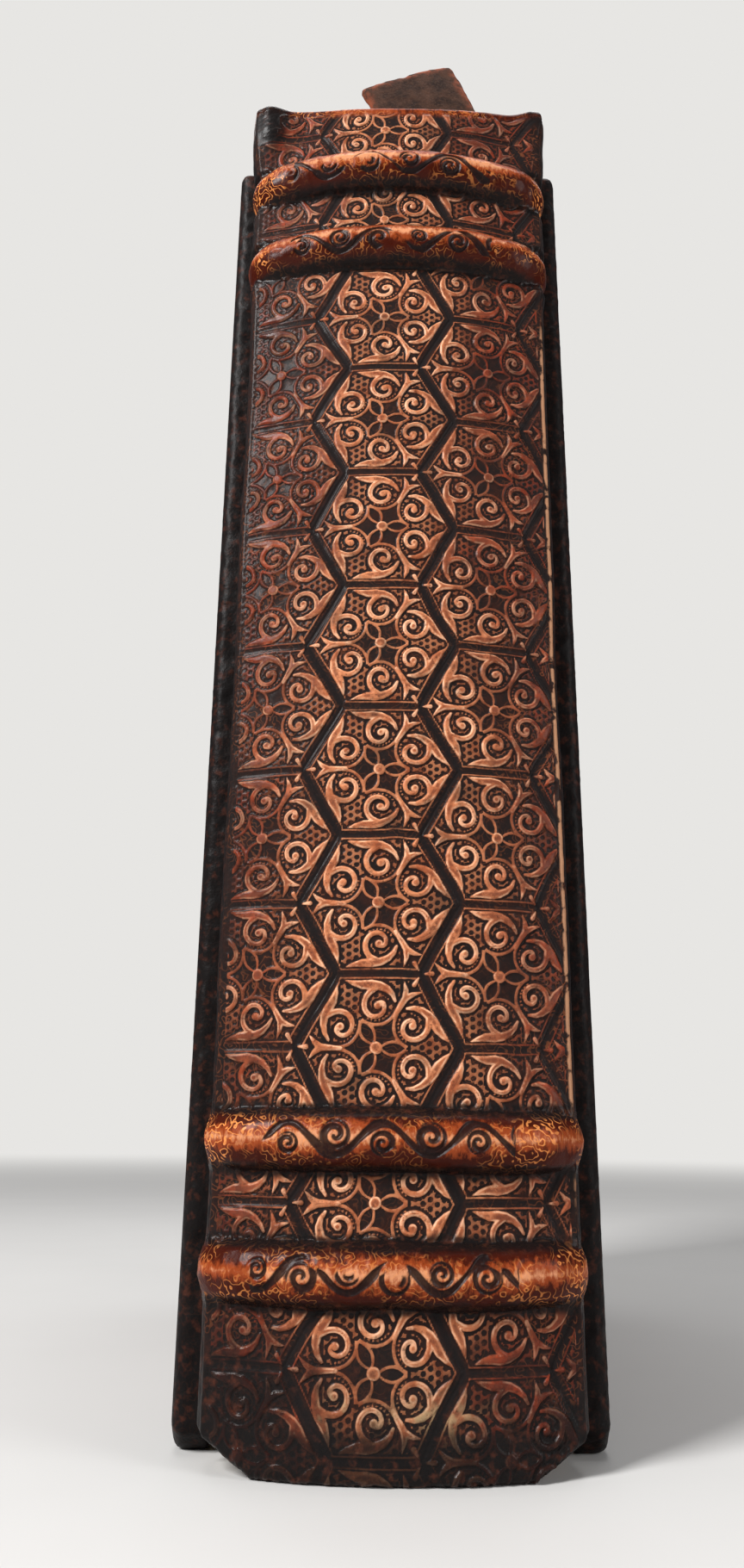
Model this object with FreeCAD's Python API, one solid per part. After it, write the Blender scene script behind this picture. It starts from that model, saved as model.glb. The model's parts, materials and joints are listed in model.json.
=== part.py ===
import FreeCAD, Part
import math
import os

# Antique book bound in embossed leather, standing on its tail with the spine towards -Y.
# X is the thickness of the book, Y runs from the spine to the fore-edge, Z from tail to head.
# The origin is the bottom centre of the book's box. All sizes are in millimetres.
# The back is hollow: the spine leather stands off the lined back of the leaves and is carried
# on four raised band cords. Each cover is a board wrapped in leather and turns at the joint.

V = FreeCAD.Vector

# Overall sizes
book_height = 256.0
spine_overhang = 4.0
cover_depth = 156.0

# Spine leather
spine_width = 59.0
spine_radius = 80.0
spine_corner = 4.0
spine_thickness = 2.0
spine_wall_depth = 11.0
spine_edge_round = 1.2
head_dip = 4.2
tail_cut_width = 8.5
tail_cut_height = 5.0

# Back of the leaves
hollow_gap = 1.4
lining_thickness = 0.8

# Raised bands, by the height of their centres above the tail in shares of the book's height
band_shares = (0.1086, 0.1832, 0.8398, 0.9133)
band_radius = 4.8
band_rise = 4.0
band_side_rise = 0.8
band_front_radius = 70.0
band_corner_radius = 14.0
band_end_depth = 9.0
cord_radius = 3.2
cord_flat = 2.4
cord_half_span = 22.0

# Leaves and endpapers
tail_square = 3.5
head_square = 3.5
fore_square = 4.0
fore_edge_hollow = 4.0
flyleaf_thickness = 0.4
flyleaf_inset = 1.0
endband_radius = 1.6
endband_flat = 0.25
endband_side_inset = 2.0

# Covers
joint_gap = 4.0
joint_clearance = 0.4
joint_leather = 0.5
cover_clearance = 0.3
pastedown_thickness = 0.3
pastedown_margin = 6.0
turn_in_thickness = 0.8
turn_in_width = 15.0
board_thickness = 4.0
cover_leather = 1.2
back_corner_bevel = 3.5
fore_corner_round = 3.0
cover_edge_round = 1.0
cord_slip_length = 14.0
cord_slip_width = 7.0
cord_slip_thickness = 1.4

# Embossing: hexagonal stamps with a flower and six scrolls in each
stamp_side = 13.3
stamp_groove = 1.8
stamp_rise = 0.5
scroll_rise = 1.1
stamp_shift_x = -2.8
stamp_share_z = 0.508
scroll_distance = 0.48
scroll_angle = 33.0
scroll_radius = 2.5
scroll_width = 1.0
scroll_turn = 250.0
scroll_outer_steps = (0.0, 0.25, 0.5, 0.75, 1.0)
scroll_inner_steps = (0.85, 0.5, 0.15)
panel_facets = 10
flower_radius = 1.4
stamp_border = 5.0
tail_plain = 1.0
head_plain = 1.5

# Bookmark tucked into the hollow of the back at the head
bookmark_width = 21.0
bookmark_cord_gap = 0.8
bookmark_thickness = 1.0
bookmark_tilt = 23.0
bookmark_corner_x = -8.3
bookmark_corner_rise = 2.6
bookmark_corner_round = 2.5

# How far cutting blocks reach past what they cut, and the slack when edges are picked out
cut_margin = 1.0
pick_slack = 0.001

# Worked out from the sizes above
cover_height = book_height - spine_overhang
band_heights = [book_height * share for share in band_shares]
stamp_shift_z = book_height * stamp_share_z
hinge_depth = spine_wall_depth
crown_to_fore_edge = hinge_depth + joint_gap + cover_depth
total_depth = band_rise + crown_to_fore_edge
crown_y = band_rise - total_depth / 2
hinge_x = (spine_width - spine_thickness) / 2
hinge_y = crown_y + hinge_depth
arc_centre_y = crown_y + spine_radius
block_half = spine_width / 2 - spine_thickness
back_radius = spine_radius - spine_thickness - hollow_gap - lining_thickness
block_fore_y = crown_y + crown_to_fore_edge - fore_square
block_bottom = tail_square
block_top = cover_height - head_square
flyleaf_x = block_half + flyleaf_thickness
pastedown_x = flyleaf_x + cover_clearance
turn_in_x = pastedown_x + pastedown_thickness
board_x = turn_in_x + turn_in_thickness
board_outer_x = board_x + board_thickness
cover_x = board_outer_x + cover_leather
cover_near_y = hinge_y + joint_gap
cover_fore_y = cover_near_y + cover_depth
stamp_pitch_x = 1.5 * stamp_side
stamp_pitch_z = math.sqrt(3) * stamp_side
stamp_reach = stamp_side - stamp_groove / math.sqrt(3)


def box(low, high):
    """A block between two corners."""
    size = V(*high) - V(*low)
    return Part.makeBox(size.x, size.y, size.z, V(*low))


def prism(wire, along):
    """A closed wire filled and carried along a vector."""
    return Part.Face(wire).extrude(along)


def arc_through(start, middle, end):
    """A circular arc edge through three points."""
    return Part.Arc(start, middle, end).toShape()


def mirrored(shape):
    """The same shape on the other side of the book's middle plane."""
    return shape.mirror(V(0, 0, 0), V(1, 0, 0))


def save(shape, name):
    """Writes one node."""
    shape.exportStep(os.path.join("parts", name + ".step"))


def back_depth(radius, x):
    """How far behind the crown line a concentric arc of the back lies at a given x."""
    return arc_centre_y - math.sqrt(radius ** 2 - x ** 2)


def spine_outline(inset, rear_y):
    """Plan outline of the back: a wide arc, two round corners and straight side walls.

    inset is the distance inwards from the outer face of the spine leather.
    """
    radius = spine_radius - inset
    corner = spine_corner - inset
    half = spine_width / 2 - inset
    corner_x = half - corner
    corner_y = arc_centre_y - math.sqrt((radius - corner) ** 2 - corner_x ** 2)
    lean = math.atan2(corner_x, arc_centre_y - corner_y)
    start = V(radius * math.sin(lean), arc_centre_y - radius * math.cos(lean), 0)
    bend = (math.pi / 2 + lean) / 2
    middle = V(corner_x + corner * math.sin(bend), corner_y - corner * math.cos(bend), 0)
    side = V(half, corner_y, 0)
    rear = V(half, rear_y, 0)

    def other(point):
        return V(-point.x, point.y, 0)

    edges = [
        arc_through(other(start), V(0, arc_centre_y - radius, 0), start),
        arc_through(start, middle, side),
        Part.LineSegment(side, rear).toShape(),
        Part.LineSegment(rear, other(rear)).toShape(),
        Part.LineSegment(other(rear), other(side)).toShape(),
        arc_through(other(side), other(middle), other(start)),
    ]
    return Part.Wire(edges)


def round_section(axis, distance, radius):
    """A round face standing in front of an upright axis, in the plane x = axis.x."""
    ring = Part.makeCircle(radius, V(axis.x, axis.y - distance, axis.z), V(1, 0, 0))
    return Part.Face(Part.Wire(ring))


def swept_round(section, axis, start, sweep):
    """A face carried round an upright axis, from start degrees off the front towards +X."""
    turned = section.copy()
    turned.rotate(axis, V(0, 0, 1), start)
    return turned.revolve(axis, V(0, 0, 1), sweep)


def make_band(height):
    """The roll of one raised band: a wide arc over the back and a tighter one round each side."""
    front_axis = V(0, crown_y - band_rise + band_front_radius, height)
    side_x = spine_width / 2 + band_side_rise - band_corner_radius
    reach = band_front_radius - band_corner_radius
    side_axis = V(side_x, front_axis.y - math.sqrt(reach ** 2 - side_x ** 2), height)
    lean = math.degrees(math.asin(side_x / reach))
    front = round_section(front_axis, band_front_radius - band_radius, band_radius)
    front = swept_round(front, front_axis, -lean, 2 * lean)
    side = round_section(side_axis, band_corner_radius - band_radius, band_radius)
    side = swept_round(side, side_axis, lean, 90 - lean)
    return front.fuse([side, mirrored(side)])


def stamp_centres(low_u, high_u, low_v, high_v, shift_u, shift_v):
    """Centres of the hexagonal stamps whose middles lie in a rectangle.

    Columns stand 1.5 sides apart, and every second column is half a pitch higher.
    """
    centres = []
    first = math.ceil((low_u - shift_u) / stamp_pitch_x)
    last = math.floor((high_u - shift_u) / stamp_pitch_x)
    for column in range(first, last + 1):
        offset = shift_v + (column % 2) * stamp_pitch_z / 2
        bottom = math.ceil((low_v - offset) / stamp_pitch_z)
        top = math.floor((high_v - offset) / stamp_pitch_z)
        for row in range(bottom, top + 1):
            centres.append((shift_u + column * stamp_pitch_x, offset + row * stamp_pitch_z))
    return centres


def hexagon(centre, reach, place):
    """Wire of a hexagon with two of its sides level. place turns (u, v) into a point."""
    points = []
    for corner in range(7):
        angle = math.radians(60 * corner)
        points.append(place(centre[0] + reach * math.cos(angle), centre[1] + reach * math.sin(angle)))
    return Part.makePolygon(points)


def scroll(centre, turned, side, place):
    """Wire of one scroll: a hook along most of a circle, pointed at both ends."""
    angle = math.radians(turned + side * scroll_angle)
    middle_u = centre[0] + scroll_distance * stamp_side * math.cos(angle)
    middle_v = centre[1] + scroll_distance * stamp_side * math.sin(angle)

    def at(radius, share):
        way = math.radians(turned - side * scroll_turn * share)
        return place(middle_u + radius * math.cos(way), middle_v + radius * math.sin(way))

    points = [at(scroll_radius, share) for share in scroll_outer_steps]
    points += [at(scroll_radius - scroll_width, share) for share in scroll_inner_steps]
    return Part.makePolygon(points + points[:1])


def panel_skin(low_z, high_z, low_rise, high_rise):
    """A curved slab over one panel between the bands, in narrow flat facets."""
    limit = math.asin((spine_width / 2 - spine_corner) / spine_radius)
    points = []
    for radius, turn in ((spine_radius + high_rise, 1), (spine_radius + low_rise, -1)):
        for step in range(panel_facets + 1):
            angle = turn * limit * (2 * step / panel_facets - 1)
            points.append(V(radius * math.sin(angle), arc_centre_y - radius * math.cos(angle), low_z))
    return prism(Part.makePolygon(points + points[:1]), V(0, 0, high_z - low_z))


def spine_panels():
    """Lowest and highest point of each embossed panel, from tail to head."""
    margin = band_radius + stamp_groove
    lows = [tail_cut_height + tail_plain] + [height + margin for height in band_heights]
    highs = [height - margin for height in band_heights] + [book_height - head_dip - head_plain]
    return list(zip(lows, highs))


def spine_stamp(centre, plate_skin, scroll_skin):
    """One stamp on the back: a hexagonal plate that carries a flower and six scrolls."""
    front_y = crown_y - 2 * scroll_rise
    depth = V(0, spine_wall_depth, 0)

    def place(u, v):
        return V(u, front_y, v)

    plate = plate_skin.common(prism(hexagon(centre, stamp_reach, place), depth))
    raised = [prism(hexagon(centre, flower_radius, place), depth)]
    for turned in (0, 120, 240):
        for side in (-1, 1):
            raised.append(prism(scroll(centre, turned, side, place), depth))
    scrolls = scroll_skin.common(Part.makeCompound(raised))
    return plate.fuse(scrolls.Solids).Solids if plate.Solids else []


def spine_embossing():
    """The stamps of all panels, following the round of the back."""
    half = spine_width / 2
    solids = []
    for low_z, high_z in spine_panels():
        plate_skin = panel_skin(low_z, high_z, -spine_thickness / 2, stamp_rise)
        scroll_skin = panel_skin(low_z, high_z, stamp_rise / 2, scroll_rise)
        for centre in stamp_centres(-half, half, low_z - stamp_side, high_z + stamp_side,
                                    stamp_shift_x, stamp_shift_z):
            solids += spine_stamp(centre, plate_skin, scroll_skin)
    return solids


def tail_corner(side):
    """The wedge that is worn and cut away from a tail corner of the back."""
    half = spine_width / 2
    outer = side * (half + 2 * band_side_rise)
    front_y = crown_y - band_rise
    wedge = Part.makePolygon([
        V(side * (half - tail_cut_width), front_y, -cut_margin),
        V(side * (half - tail_cut_width), front_y, 0),
        V(side * half, front_y, tail_cut_height),
        V(outer, front_y, tail_cut_height),
        V(outer, front_y, -cut_margin),
        V(side * (half - tail_cut_width), front_y, -cut_margin),
    ])
    return prism(wedge, V(0, total_depth, 0))


def head_hollow():
    """The shallow curve that the head edge of the back dips to between its corners."""
    half = spine_width / 2
    radius = (half ** 2 + head_dip ** 2) / (2 * head_dip)
    start = V(0, crown_y - band_rise, book_height - head_dip + radius)
    return Part.makeCylinder(radius, total_depth, start, V(0, 1, 0))


def make_spine_leather():
    """Moulded leather of the back, with the raised bands, head dip, worn tail corners and stamps."""
    body = prism(spine_outline(0, hinge_y), V(0, 0, book_height))
    rims = [edge for edge in body.Edges
            if edge.BoundBox.ZLength < spine_edge_round / 2
            and edge.BoundBox.YMin < hinge_y - spine_corner]
    body = body.makeFillet(spine_edge_round, rims)
    band_zone = box((-spine_width, crown_y - 2 * band_rise, 0),
                    (spine_width, crown_y + band_end_depth, book_height))
    body = body.fuse([make_band(height).common(band_zone) for height in band_heights])
    inner = prism(spine_outline(spine_thickness, hinge_y + spine_width), V(0, 0, book_height))
    body = body.cut(inner).cut([head_hollow(), tail_corner(-1), tail_corner(1)])
    wall_ends = [Part.makeCylinder(spine_thickness / 2, book_height - head_dip - tail_cut_height,
                                   V(side * hinge_x, hinge_y, tail_cut_height)) for side in (-1, 1)]
    cords = [make_band_cord(height) for height in band_heights]
    return body.fuse(wall_ends).cut(cords).fuse(spine_embossing()).removeSplitter()


def make_band_cord(height):
    """One raised band cord: round in front, flat where it lies on the lining."""
    axis = V(0, arc_centre_y, height)
    rear = arc_centre_y - back_radius - lining_thickness
    middle = rear - cord_flat
    section = Part.Wire([
        Part.LineSegment(V(0, rear, height - cord_radius), V(0, middle, height - cord_radius)).toShape(),
        arc_through(V(0, middle, height - cord_radius), V(0, middle - cord_radius, height),
                    V(0, middle, height + cord_radius)),
        Part.LineSegment(V(0, middle, height + cord_radius), V(0, rear, height + cord_radius)).toShape(),
        Part.LineSegment(V(0, rear, height + cord_radius), V(0, rear, height - cord_radius)).toShape(),
    ])
    lean = math.degrees(math.asin(cord_half_span / (arc_centre_y - middle)))
    return swept_round(Part.Face(section), axis, -lean, 2 * lean)


def make_text_block():
    """All the leaves as one block: rounded back, hollow fore-edge."""
    back_y = back_depth(back_radius, block_half)
    middle_y = block_fore_y - fore_edge_hollow
    outline = Part.Wire([
        arc_through(V(-block_half, back_y, 0), V(0, arc_centre_y - back_radius, 0),
                    V(block_half, back_y, 0)),
        Part.LineSegment(V(block_half, back_y, 0), V(block_half, block_fore_y, 0)).toShape(),
        arc_through(V(block_half, block_fore_y, 0), V(0, middle_y, 0),
                    V(-block_half, block_fore_y, 0)),
        Part.LineSegment(V(-block_half, block_fore_y, 0), V(-block_half, back_y, 0)).toShape(),
    ])
    block = prism(outline, V(0, 0, block_top - block_bottom))
    block.translate(V(0, 0, block_bottom))
    return block


def make_lining():
    """Paper and linen lining glued over the back of the leaves."""
    height = block_top - block_bottom
    base = V(0, arc_centre_y, block_bottom)
    half = block_half - endband_side_inset
    outer = Part.makeCylinder(back_radius + lining_thickness, height, base)
    inner = Part.makeCylinder(back_radius, height, base)
    front = box((-half, crown_y, block_bottom),
                (half, back_depth(back_radius, half) + cut_margin, block_top))
    return outer.cut(inner).common(front)


def make_endband(base_z, up):
    """Sewn endband over the end of the leaves, along the curve of the back, flat on the leaves."""
    path_radius = back_radius - endband_radius
    middle_y = arc_centre_y - path_radius
    rise = endband_radius - endband_flat
    half_flat = math.sqrt(endband_radius ** 2 - rise ** 2)
    front = V(0, middle_y - half_flat, base_z)
    rear = V(0, middle_y + half_flat, base_z)
    section = Part.Wire([
        arc_through(front, V(0, middle_y, base_z + up * (rise + endband_radius)), rear),
        Part.LineSegment(rear, front).toShape(),
    ])
    lean = math.degrees(math.asin((block_half - endband_side_inset) / path_radius))
    return swept_round(Part.Face(section), V(0, arc_centre_y, base_z), -lean, 2 * lean)


def make_flyleaf():
    """The loose half of the front endpaper, lying on the leaves."""
    near_y = hinge_y + spine_thickness / 2 + joint_clearance
    return box((block_half, near_y, block_bottom + flyleaf_inset),
               (flyleaf_x, block_fore_y - flyleaf_inset, block_top - flyleaf_inset))


def cover_outline(inset, x):
    """Side outline of a cover: bevelled corners at the joint and round ones at the fore-edge."""
    low_y = cover_near_y + inset
    high_y = cover_fore_y - inset
    low_z = inset
    high_z = cover_height - inset
    bevel = back_corner_bevel - (2 - math.sqrt(2)) * inset
    curve = max(fore_corner_round - inset, fore_corner_round / 4)
    bend = curve * (1 - math.sqrt(0.5))
    return Part.Wire([
        Part.LineSegment(V(x, low_y, high_z - bevel), V(x, low_y, low_z + bevel)).toShape(),
        Part.LineSegment(V(x, low_y, low_z + bevel), V(x, low_y + bevel, low_z)).toShape(),
        Part.LineSegment(V(x, low_y + bevel, low_z), V(x, high_y - curve, low_z)).toShape(),
        arc_through(V(x, high_y - curve, low_z), V(x, high_y - bend, low_z + bend),
                    V(x, high_y, low_z + curve)),
        Part.LineSegment(V(x, high_y, low_z + curve), V(x, high_y, high_z - curve)).toShape(),
        arc_through(V(x, high_y, high_z - curve), V(x, high_y - bend, high_z - bend),
                    V(x, high_y - curve, high_z)),
        Part.LineSegment(V(x, high_y - curve, high_z), V(x, low_y + bevel, high_z)).toShape(),
        Part.LineSegment(V(x, low_y + bevel, high_z), V(x, low_y, high_z - bevel)).toShape(),
    ])


def cord_slip_blocks():
    """Frayed ends of the four band cords, laced into the outer face of a board."""
    start_y = cover_near_y + cover_leather
    blocks = []
    for height in band_heights:
        blocks.append(box((board_outer_x - cord_slip_thickness, start_y, height - cord_slip_width / 2),
                          (board_outer_x, start_y + cord_slip_length, height + cord_slip_width / 2)))
    return blocks


def make_board():
    """The stiff board inside a cover, with channels for the laced cord ends."""
    board = prism(cover_outline(cover_leather, board_x), V(board_thickness, 0, 0))
    return board.cut(cord_slip_blocks())


def window_block(low_x, high_x, margin):
    """A block over the inside of a cover, that far in from its three free edges."""
    return box((low_x, cover_near_y + cover_leather, margin),
               (high_x, cover_fore_y - margin, cover_height - margin))


def cover_embossing():
    """Raised stamps on the outside of a cover, inside a plain border."""
    field = prism(cover_outline(stamp_border, board_outer_x), V(cover_leather + stamp_rise, 0, 0))

    def place(u, v):
        return V(board_outer_x, u, v)

    reach = stamp_side / 2
    centres = stamp_centres(cover_near_y - reach, cover_fore_y + reach, -reach, cover_height + reach,
                            (cover_near_y + cover_fore_y) / 2, stamp_shift_z)
    depth = V(cover_leather + stamp_rise, 0, 0)
    plates = [prism(hexagon(centre, stamp_reach, place), depth) for centre in centres]
    return Part.makeCompound(plates).common(field).Solids


def make_cover_leather():
    """Leather wrapped round a board and turned in, with the thin joint strip that it turns on."""
    wrap = prism(cover_outline(0, turn_in_x), V(cover_x - turn_in_x, 0, 0))
    rims = [edge for edge in wrap.Edges if edge.BoundBox.XMin > cover_x - pick_slack]
    wrap = wrap.makeFillet(cover_edge_round, rims)
    wrap = wrap.fuse(cover_embossing())
    wrap = wrap.cut(prism(cover_outline(cover_leather, board_x), V(board_thickness, 0, 0)))
    wrap = wrap.cut(window_block(turn_in_x - cut_margin, board_x, turn_in_width))
    strip = box((pastedown_x, hinge_y, back_corner_bevel),
                (pastedown_x + joint_leather, cover_near_y + cover_leather,
                 cover_height - back_corner_bevel))
    wrap = wrap.fuse(strip)
    knuckle = Part.makeCylinder(spine_thickness / 2 + joint_clearance, book_height + cut_margin,
                                V(hinge_x, hinge_y, -cut_margin))
    front = box((0, crown_y, -cut_margin), (spine_width, hinge_y, book_height))
    return wrap.cut([knuckle, front]).removeSplitter()


def make_pastedown():
    """Endpaper pasted inside a cover: over the edge of the turn-ins, and filling their window."""
    sheet = window_block(pastedown_x, turn_in_x, pastedown_margin)
    fill = window_block(turn_in_x, board_x, turn_in_width)
    return sheet.fuse(fill).removeSplitter()


def make_bookmark():
    """A worn leather slip, bent to the curve of the hollow back and leaning over."""
    outer_radius = spine_radius - spine_thickness - (hollow_gap - bookmark_thickness) / 2
    corner_z = book_height + bookmark_corner_rise
    foot_z = band_heights[-1] + cord_radius + bookmark_cord_gap
    length = (corner_z - foot_z) / math.cos(math.radians(bookmark_tilt))
    low_z = corner_z - length - bookmark_width
    high_z = corner_z + bookmark_width
    base = V(0, arc_centre_y, low_z)
    sheet = Part.makeCylinder(outer_radius, high_z - low_z, base)
    sheet = sheet.cut(Part.makeCylinder(outer_radius - bookmark_thickness, high_z - low_z, base))
    card = Part.makeBox(bookmark_width, spine_radius / 2, length, V(0, crown_y, -length))
    corners = [edge for edge in card.Edges
               if edge.BoundBox.ZMin > -pick_slack and edge.BoundBox.YLength > bookmark_width]
    card = card.makeFillet(bookmark_corner_round, corners)
    card.rotate(V(0, 0, 0), V(0, 1, 0), -bookmark_tilt)
    card.translate(V(bookmark_corner_x, 0, corner_z))
    return sheet.common(card)


def main():
    os.makedirs("parts", exist_ok=True)
    save(make_text_block(), "text_block")
    save(make_lining(), "spine_lining")
    for number, height in enumerate(band_heights, start=1):
        save(make_band_cord(height), "band_cord_%d" % number)
    save(make_spine_leather(), "spine_leather")
    save(make_endband(block_top, 1), "head_endband")
    save(make_endband(block_bottom, -1), "tail_endband")
    save(make_bookmark(), "bookmark")
    cover_pieces = {
        "board": make_board(),
        "cord_slips": Part.makeCompound(cord_slip_blocks()),
        "cover_leather": make_cover_leather(),
        "pastedown": make_pastedown(),
        "flyleaf": make_flyleaf(),
    }
    for name, piece in cover_pieces.items():
        save(piece, "front_" + name)
        save(mirrored(piece), "back_" + name)


main()
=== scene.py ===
import json
import math

import bpy
import numpy as np
from bpy.props import FloatProperty, FloatVectorProperty, PointerProperty
from mathutils import Euler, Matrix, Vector


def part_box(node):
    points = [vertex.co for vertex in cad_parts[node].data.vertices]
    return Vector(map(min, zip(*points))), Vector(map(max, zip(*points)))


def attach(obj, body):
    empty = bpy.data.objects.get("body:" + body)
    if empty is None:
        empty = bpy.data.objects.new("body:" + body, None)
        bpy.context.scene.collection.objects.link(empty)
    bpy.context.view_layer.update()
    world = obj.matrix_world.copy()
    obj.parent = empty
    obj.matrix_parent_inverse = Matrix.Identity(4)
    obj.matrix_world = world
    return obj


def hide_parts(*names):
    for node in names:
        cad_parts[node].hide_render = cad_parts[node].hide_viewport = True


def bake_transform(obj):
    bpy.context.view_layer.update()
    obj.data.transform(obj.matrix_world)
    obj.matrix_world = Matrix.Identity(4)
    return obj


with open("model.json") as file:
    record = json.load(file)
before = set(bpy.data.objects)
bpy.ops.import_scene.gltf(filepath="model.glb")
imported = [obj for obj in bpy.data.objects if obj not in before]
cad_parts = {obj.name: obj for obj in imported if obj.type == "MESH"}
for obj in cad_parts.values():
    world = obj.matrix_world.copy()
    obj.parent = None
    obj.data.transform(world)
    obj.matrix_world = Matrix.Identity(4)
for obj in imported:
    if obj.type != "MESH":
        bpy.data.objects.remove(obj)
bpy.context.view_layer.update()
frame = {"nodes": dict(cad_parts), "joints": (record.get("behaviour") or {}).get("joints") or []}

bl_info = {
    "name": "Antique embossed leather book",
    "version": (1, 0, 0),
    "blender": (4, 5, 0),
    "location": "3D View > Sidebar > Old Book",
    "description": "Dresses an old bound book in embossed leather, aged paper and sewn endbands",
    "category": "Object",
}

# Every size in this file is in millimetres, apart from those given straight to Blender in metres.
MM = 0.001


def node_box(name):
    """Lowest and highest corner of a CAD node, in millimetres."""
    low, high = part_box(name)
    return np.array(low, float) / MM, np.array(high, float) / MM


SPINE_LOW, SPINE_HIGH = node_box("spine_leather")
COVER_HIGH = node_box("front_cover_leather")[1]
SLIP_LOW, SLIP_HIGH = node_box("bookmark")
BAND_Z = [float(sum(corner[2] for corner in node_box("band_cord_%d" % n)) / 2) for n in range(1, 5)]
HINGE = {joint["child"]: joint for joint in frame["joints"]}
HINGE_X = abs(HINGE["front_cover"]["pos_m"][0]) / MM
HINGE_Y = HINGE["front_cover"]["pos_m"][1] / MM

# The back's shape, as the frame has it
BAND_RISE = 4.0
BAND_RADIUS = 4.8
BAND_SIDE_RISE = 0.8
SPINE_RADIUS = 80.0
SPINE_CORNER = 4.0
SPINE_THICK = 2.0
SPINE_HALF = 29.5
HEAD_Z = SPINE_HIGH[2]
HEAD_HOLLOW = 3.2
TAIL_CUT_WIDTH = 8.5
TAIL_CUT_HEIGHT = 5.0
CROWN_Y = SPINE_LOW[1] + BAND_RISE
ARC_CENTRE_Y = CROWN_Y + SPINE_RADIUS
CORNER_X = SPINE_HALF - SPINE_CORNER
CORNER_LEAN = math.asin(CORNER_X / (SPINE_RADIUS - SPINE_CORNER))
CORNER_Y = ARC_CENTRE_Y - (SPINE_RADIUS - SPINE_CORNER) * math.cos(CORNER_LEAN)
ARC_LENGTH = SPINE_RADIUS * CORNER_LEAN
CORNER_LENGTH = SPINE_CORNER * (math.pi / 2 - CORNER_LEAN)
WALL_LENGTH = HINGE_Y - CORNER_Y
OUTLINE_LENGTH = ARC_LENGTH + CORNER_LENGTH + WALL_LENGTH

# The bands, tail first: where their painted highlights and their ornament lie, in radii over their middles
BAND_HIGHLIGHT_PLACE = (0.08, 0.08, 0.22, 0.22)
CURL_RISES = (0.06, 0.06, -0.06, -0.06)
BAND_SAG = 0.9
BAND_FLANK = 1.6
BAND_BLEND = 0.5
BAND_WANDER = 0.5
BAND_WRINKLES = 0.22
BAND_CLEAR = 6.4

# The head's edge and its two ears
HEAD_CORNER = 2.6
HEAD_ROLL_LOW = 3.4
HEAD_ROLL_HIGH = 1.8
# Where the painted highlight lies on the rolled head edge, in radii
HEAD_ROLL_HIGHLIGHT_PLACE = 0.38
EAR_RISE = 1.9

# The back's rolled-over ends, and the wider grid squares of its plain side walls
END_ROUND = 1.5
WALL_CELL = 0.6

# The covers' shape, as the frame has it
COVER_BEVEL = 3.5
COVER_ROUND = 3.0
COVER_EDGE = 2.2
COVER_INNER_X = 28.5
COVER_RELIEF = 0.5

# Stamps: six-sided, with two sides level
STAMP_SIDE = 13.3
STAMP_X = -2.8
STAMP_Z = 130.0
ROOT3 = math.sqrt(3)

# How far tooling stands up from the leather, and how deep its cuts are
STROKE_RISE = 0.44
LINE_RISE = 0.26
COMB_RISE = 0.15
STAMP_MARGIN = 0.10
STAMP_EDGE_CUT = 0.20
CURL_CUT = 0.42
RIM_RISE = 0.40

# What a distance mask holds where there is no tooling
OFF = 3.0


# Numbers on grids

def steps(low, high, size):
    """Even steps from low to high, or down to it, each about the given size."""
    return np.linspace(low, high, int(round(abs(high - low) / size)) + 1)


def ease(edge0, edge1, value):
    """Smooth step: 0 before edge0, 1 after edge1, and a cubic between them."""
    share = np.clip((value - edge0) / (edge1 - edge0), 0, 1)
    return share * share * (3 - 2 * share)


def bell(value, width):
    """Bell curve of height 1 and the given half-width."""
    return np.exp(-(value / width) ** 2)


def lumps(x, y, z, size, seed):
    """Value noise from 0 to 1: seeded random values at the corners of cubes, eased between them."""
    table = np.random.default_rng(seed).random(8192)
    points = [np.asarray(axis, float) / size for axis in np.broadcast_arrays(x, y, z)]
    floors = [np.floor(axis) for axis in points]
    shares = [ease(0, 1, axis - floor) for axis, floor in zip(points, floors)]
    cells = [floor.astype(np.int64) for floor in floors]
    total = 0
    for corner in range(8):
        weight = 1
        index = 0
        for axis, prime in enumerate((73856093, 19349663, 83492791)):
            far = (corner >> axis) & 1
            weight = weight * (shares[axis] if far else 1 - shares[axis])
            index = index + (cells[axis] + far) * prime
        total = total + weight * table[np.mod(index, 8192)]
    return total


def rough(x, y, z, size, seed, octaves=3):
    """Lumps of halving size added up, centred on zero, from about -1 to 1."""
    total = 0
    for octave in range(octaves):
        total = total + (lumps(x, y, z, size / 2 ** octave, seed + octave) - 0.5) / 2 ** octave
    return total


def creases(x, y, z, size, seed):
    """Ridged noise from 0 to 1: the folds lie where the noise passes its middle value."""
    return 1 - np.abs(2 * lumps(x, y, z, size, seed) - 1)


def near_segment(x, y, start, end, start_half, end_half):
    """Distance to a straight stroke whose half-width changes evenly from start to end."""
    run = (end[0] - start[0], end[1] - start[1])
    share = ((x - start[0]) * run[0] + (y - start[1]) * run[1]) / (run[0] ** 2 + run[1] ** 2)
    share = np.clip(share, 0, 1)
    gap = np.hypot(x - start[0] - share * run[0], y - start[1] - share * run[1])
    return gap - (start_half + share * (end_half - start_half))


def near_stroke(x, y, points, halves):
    """Distance to a bent stroke with a half-width at each of its points."""
    gap = np.full(np.shape(x), 9.0)
    for index in range(len(points) - 1):
        gap = np.minimum(gap, near_segment(x, y, points[index], points[index + 1],
                                           halves[index], halves[index + 1]))
    return gap


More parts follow.
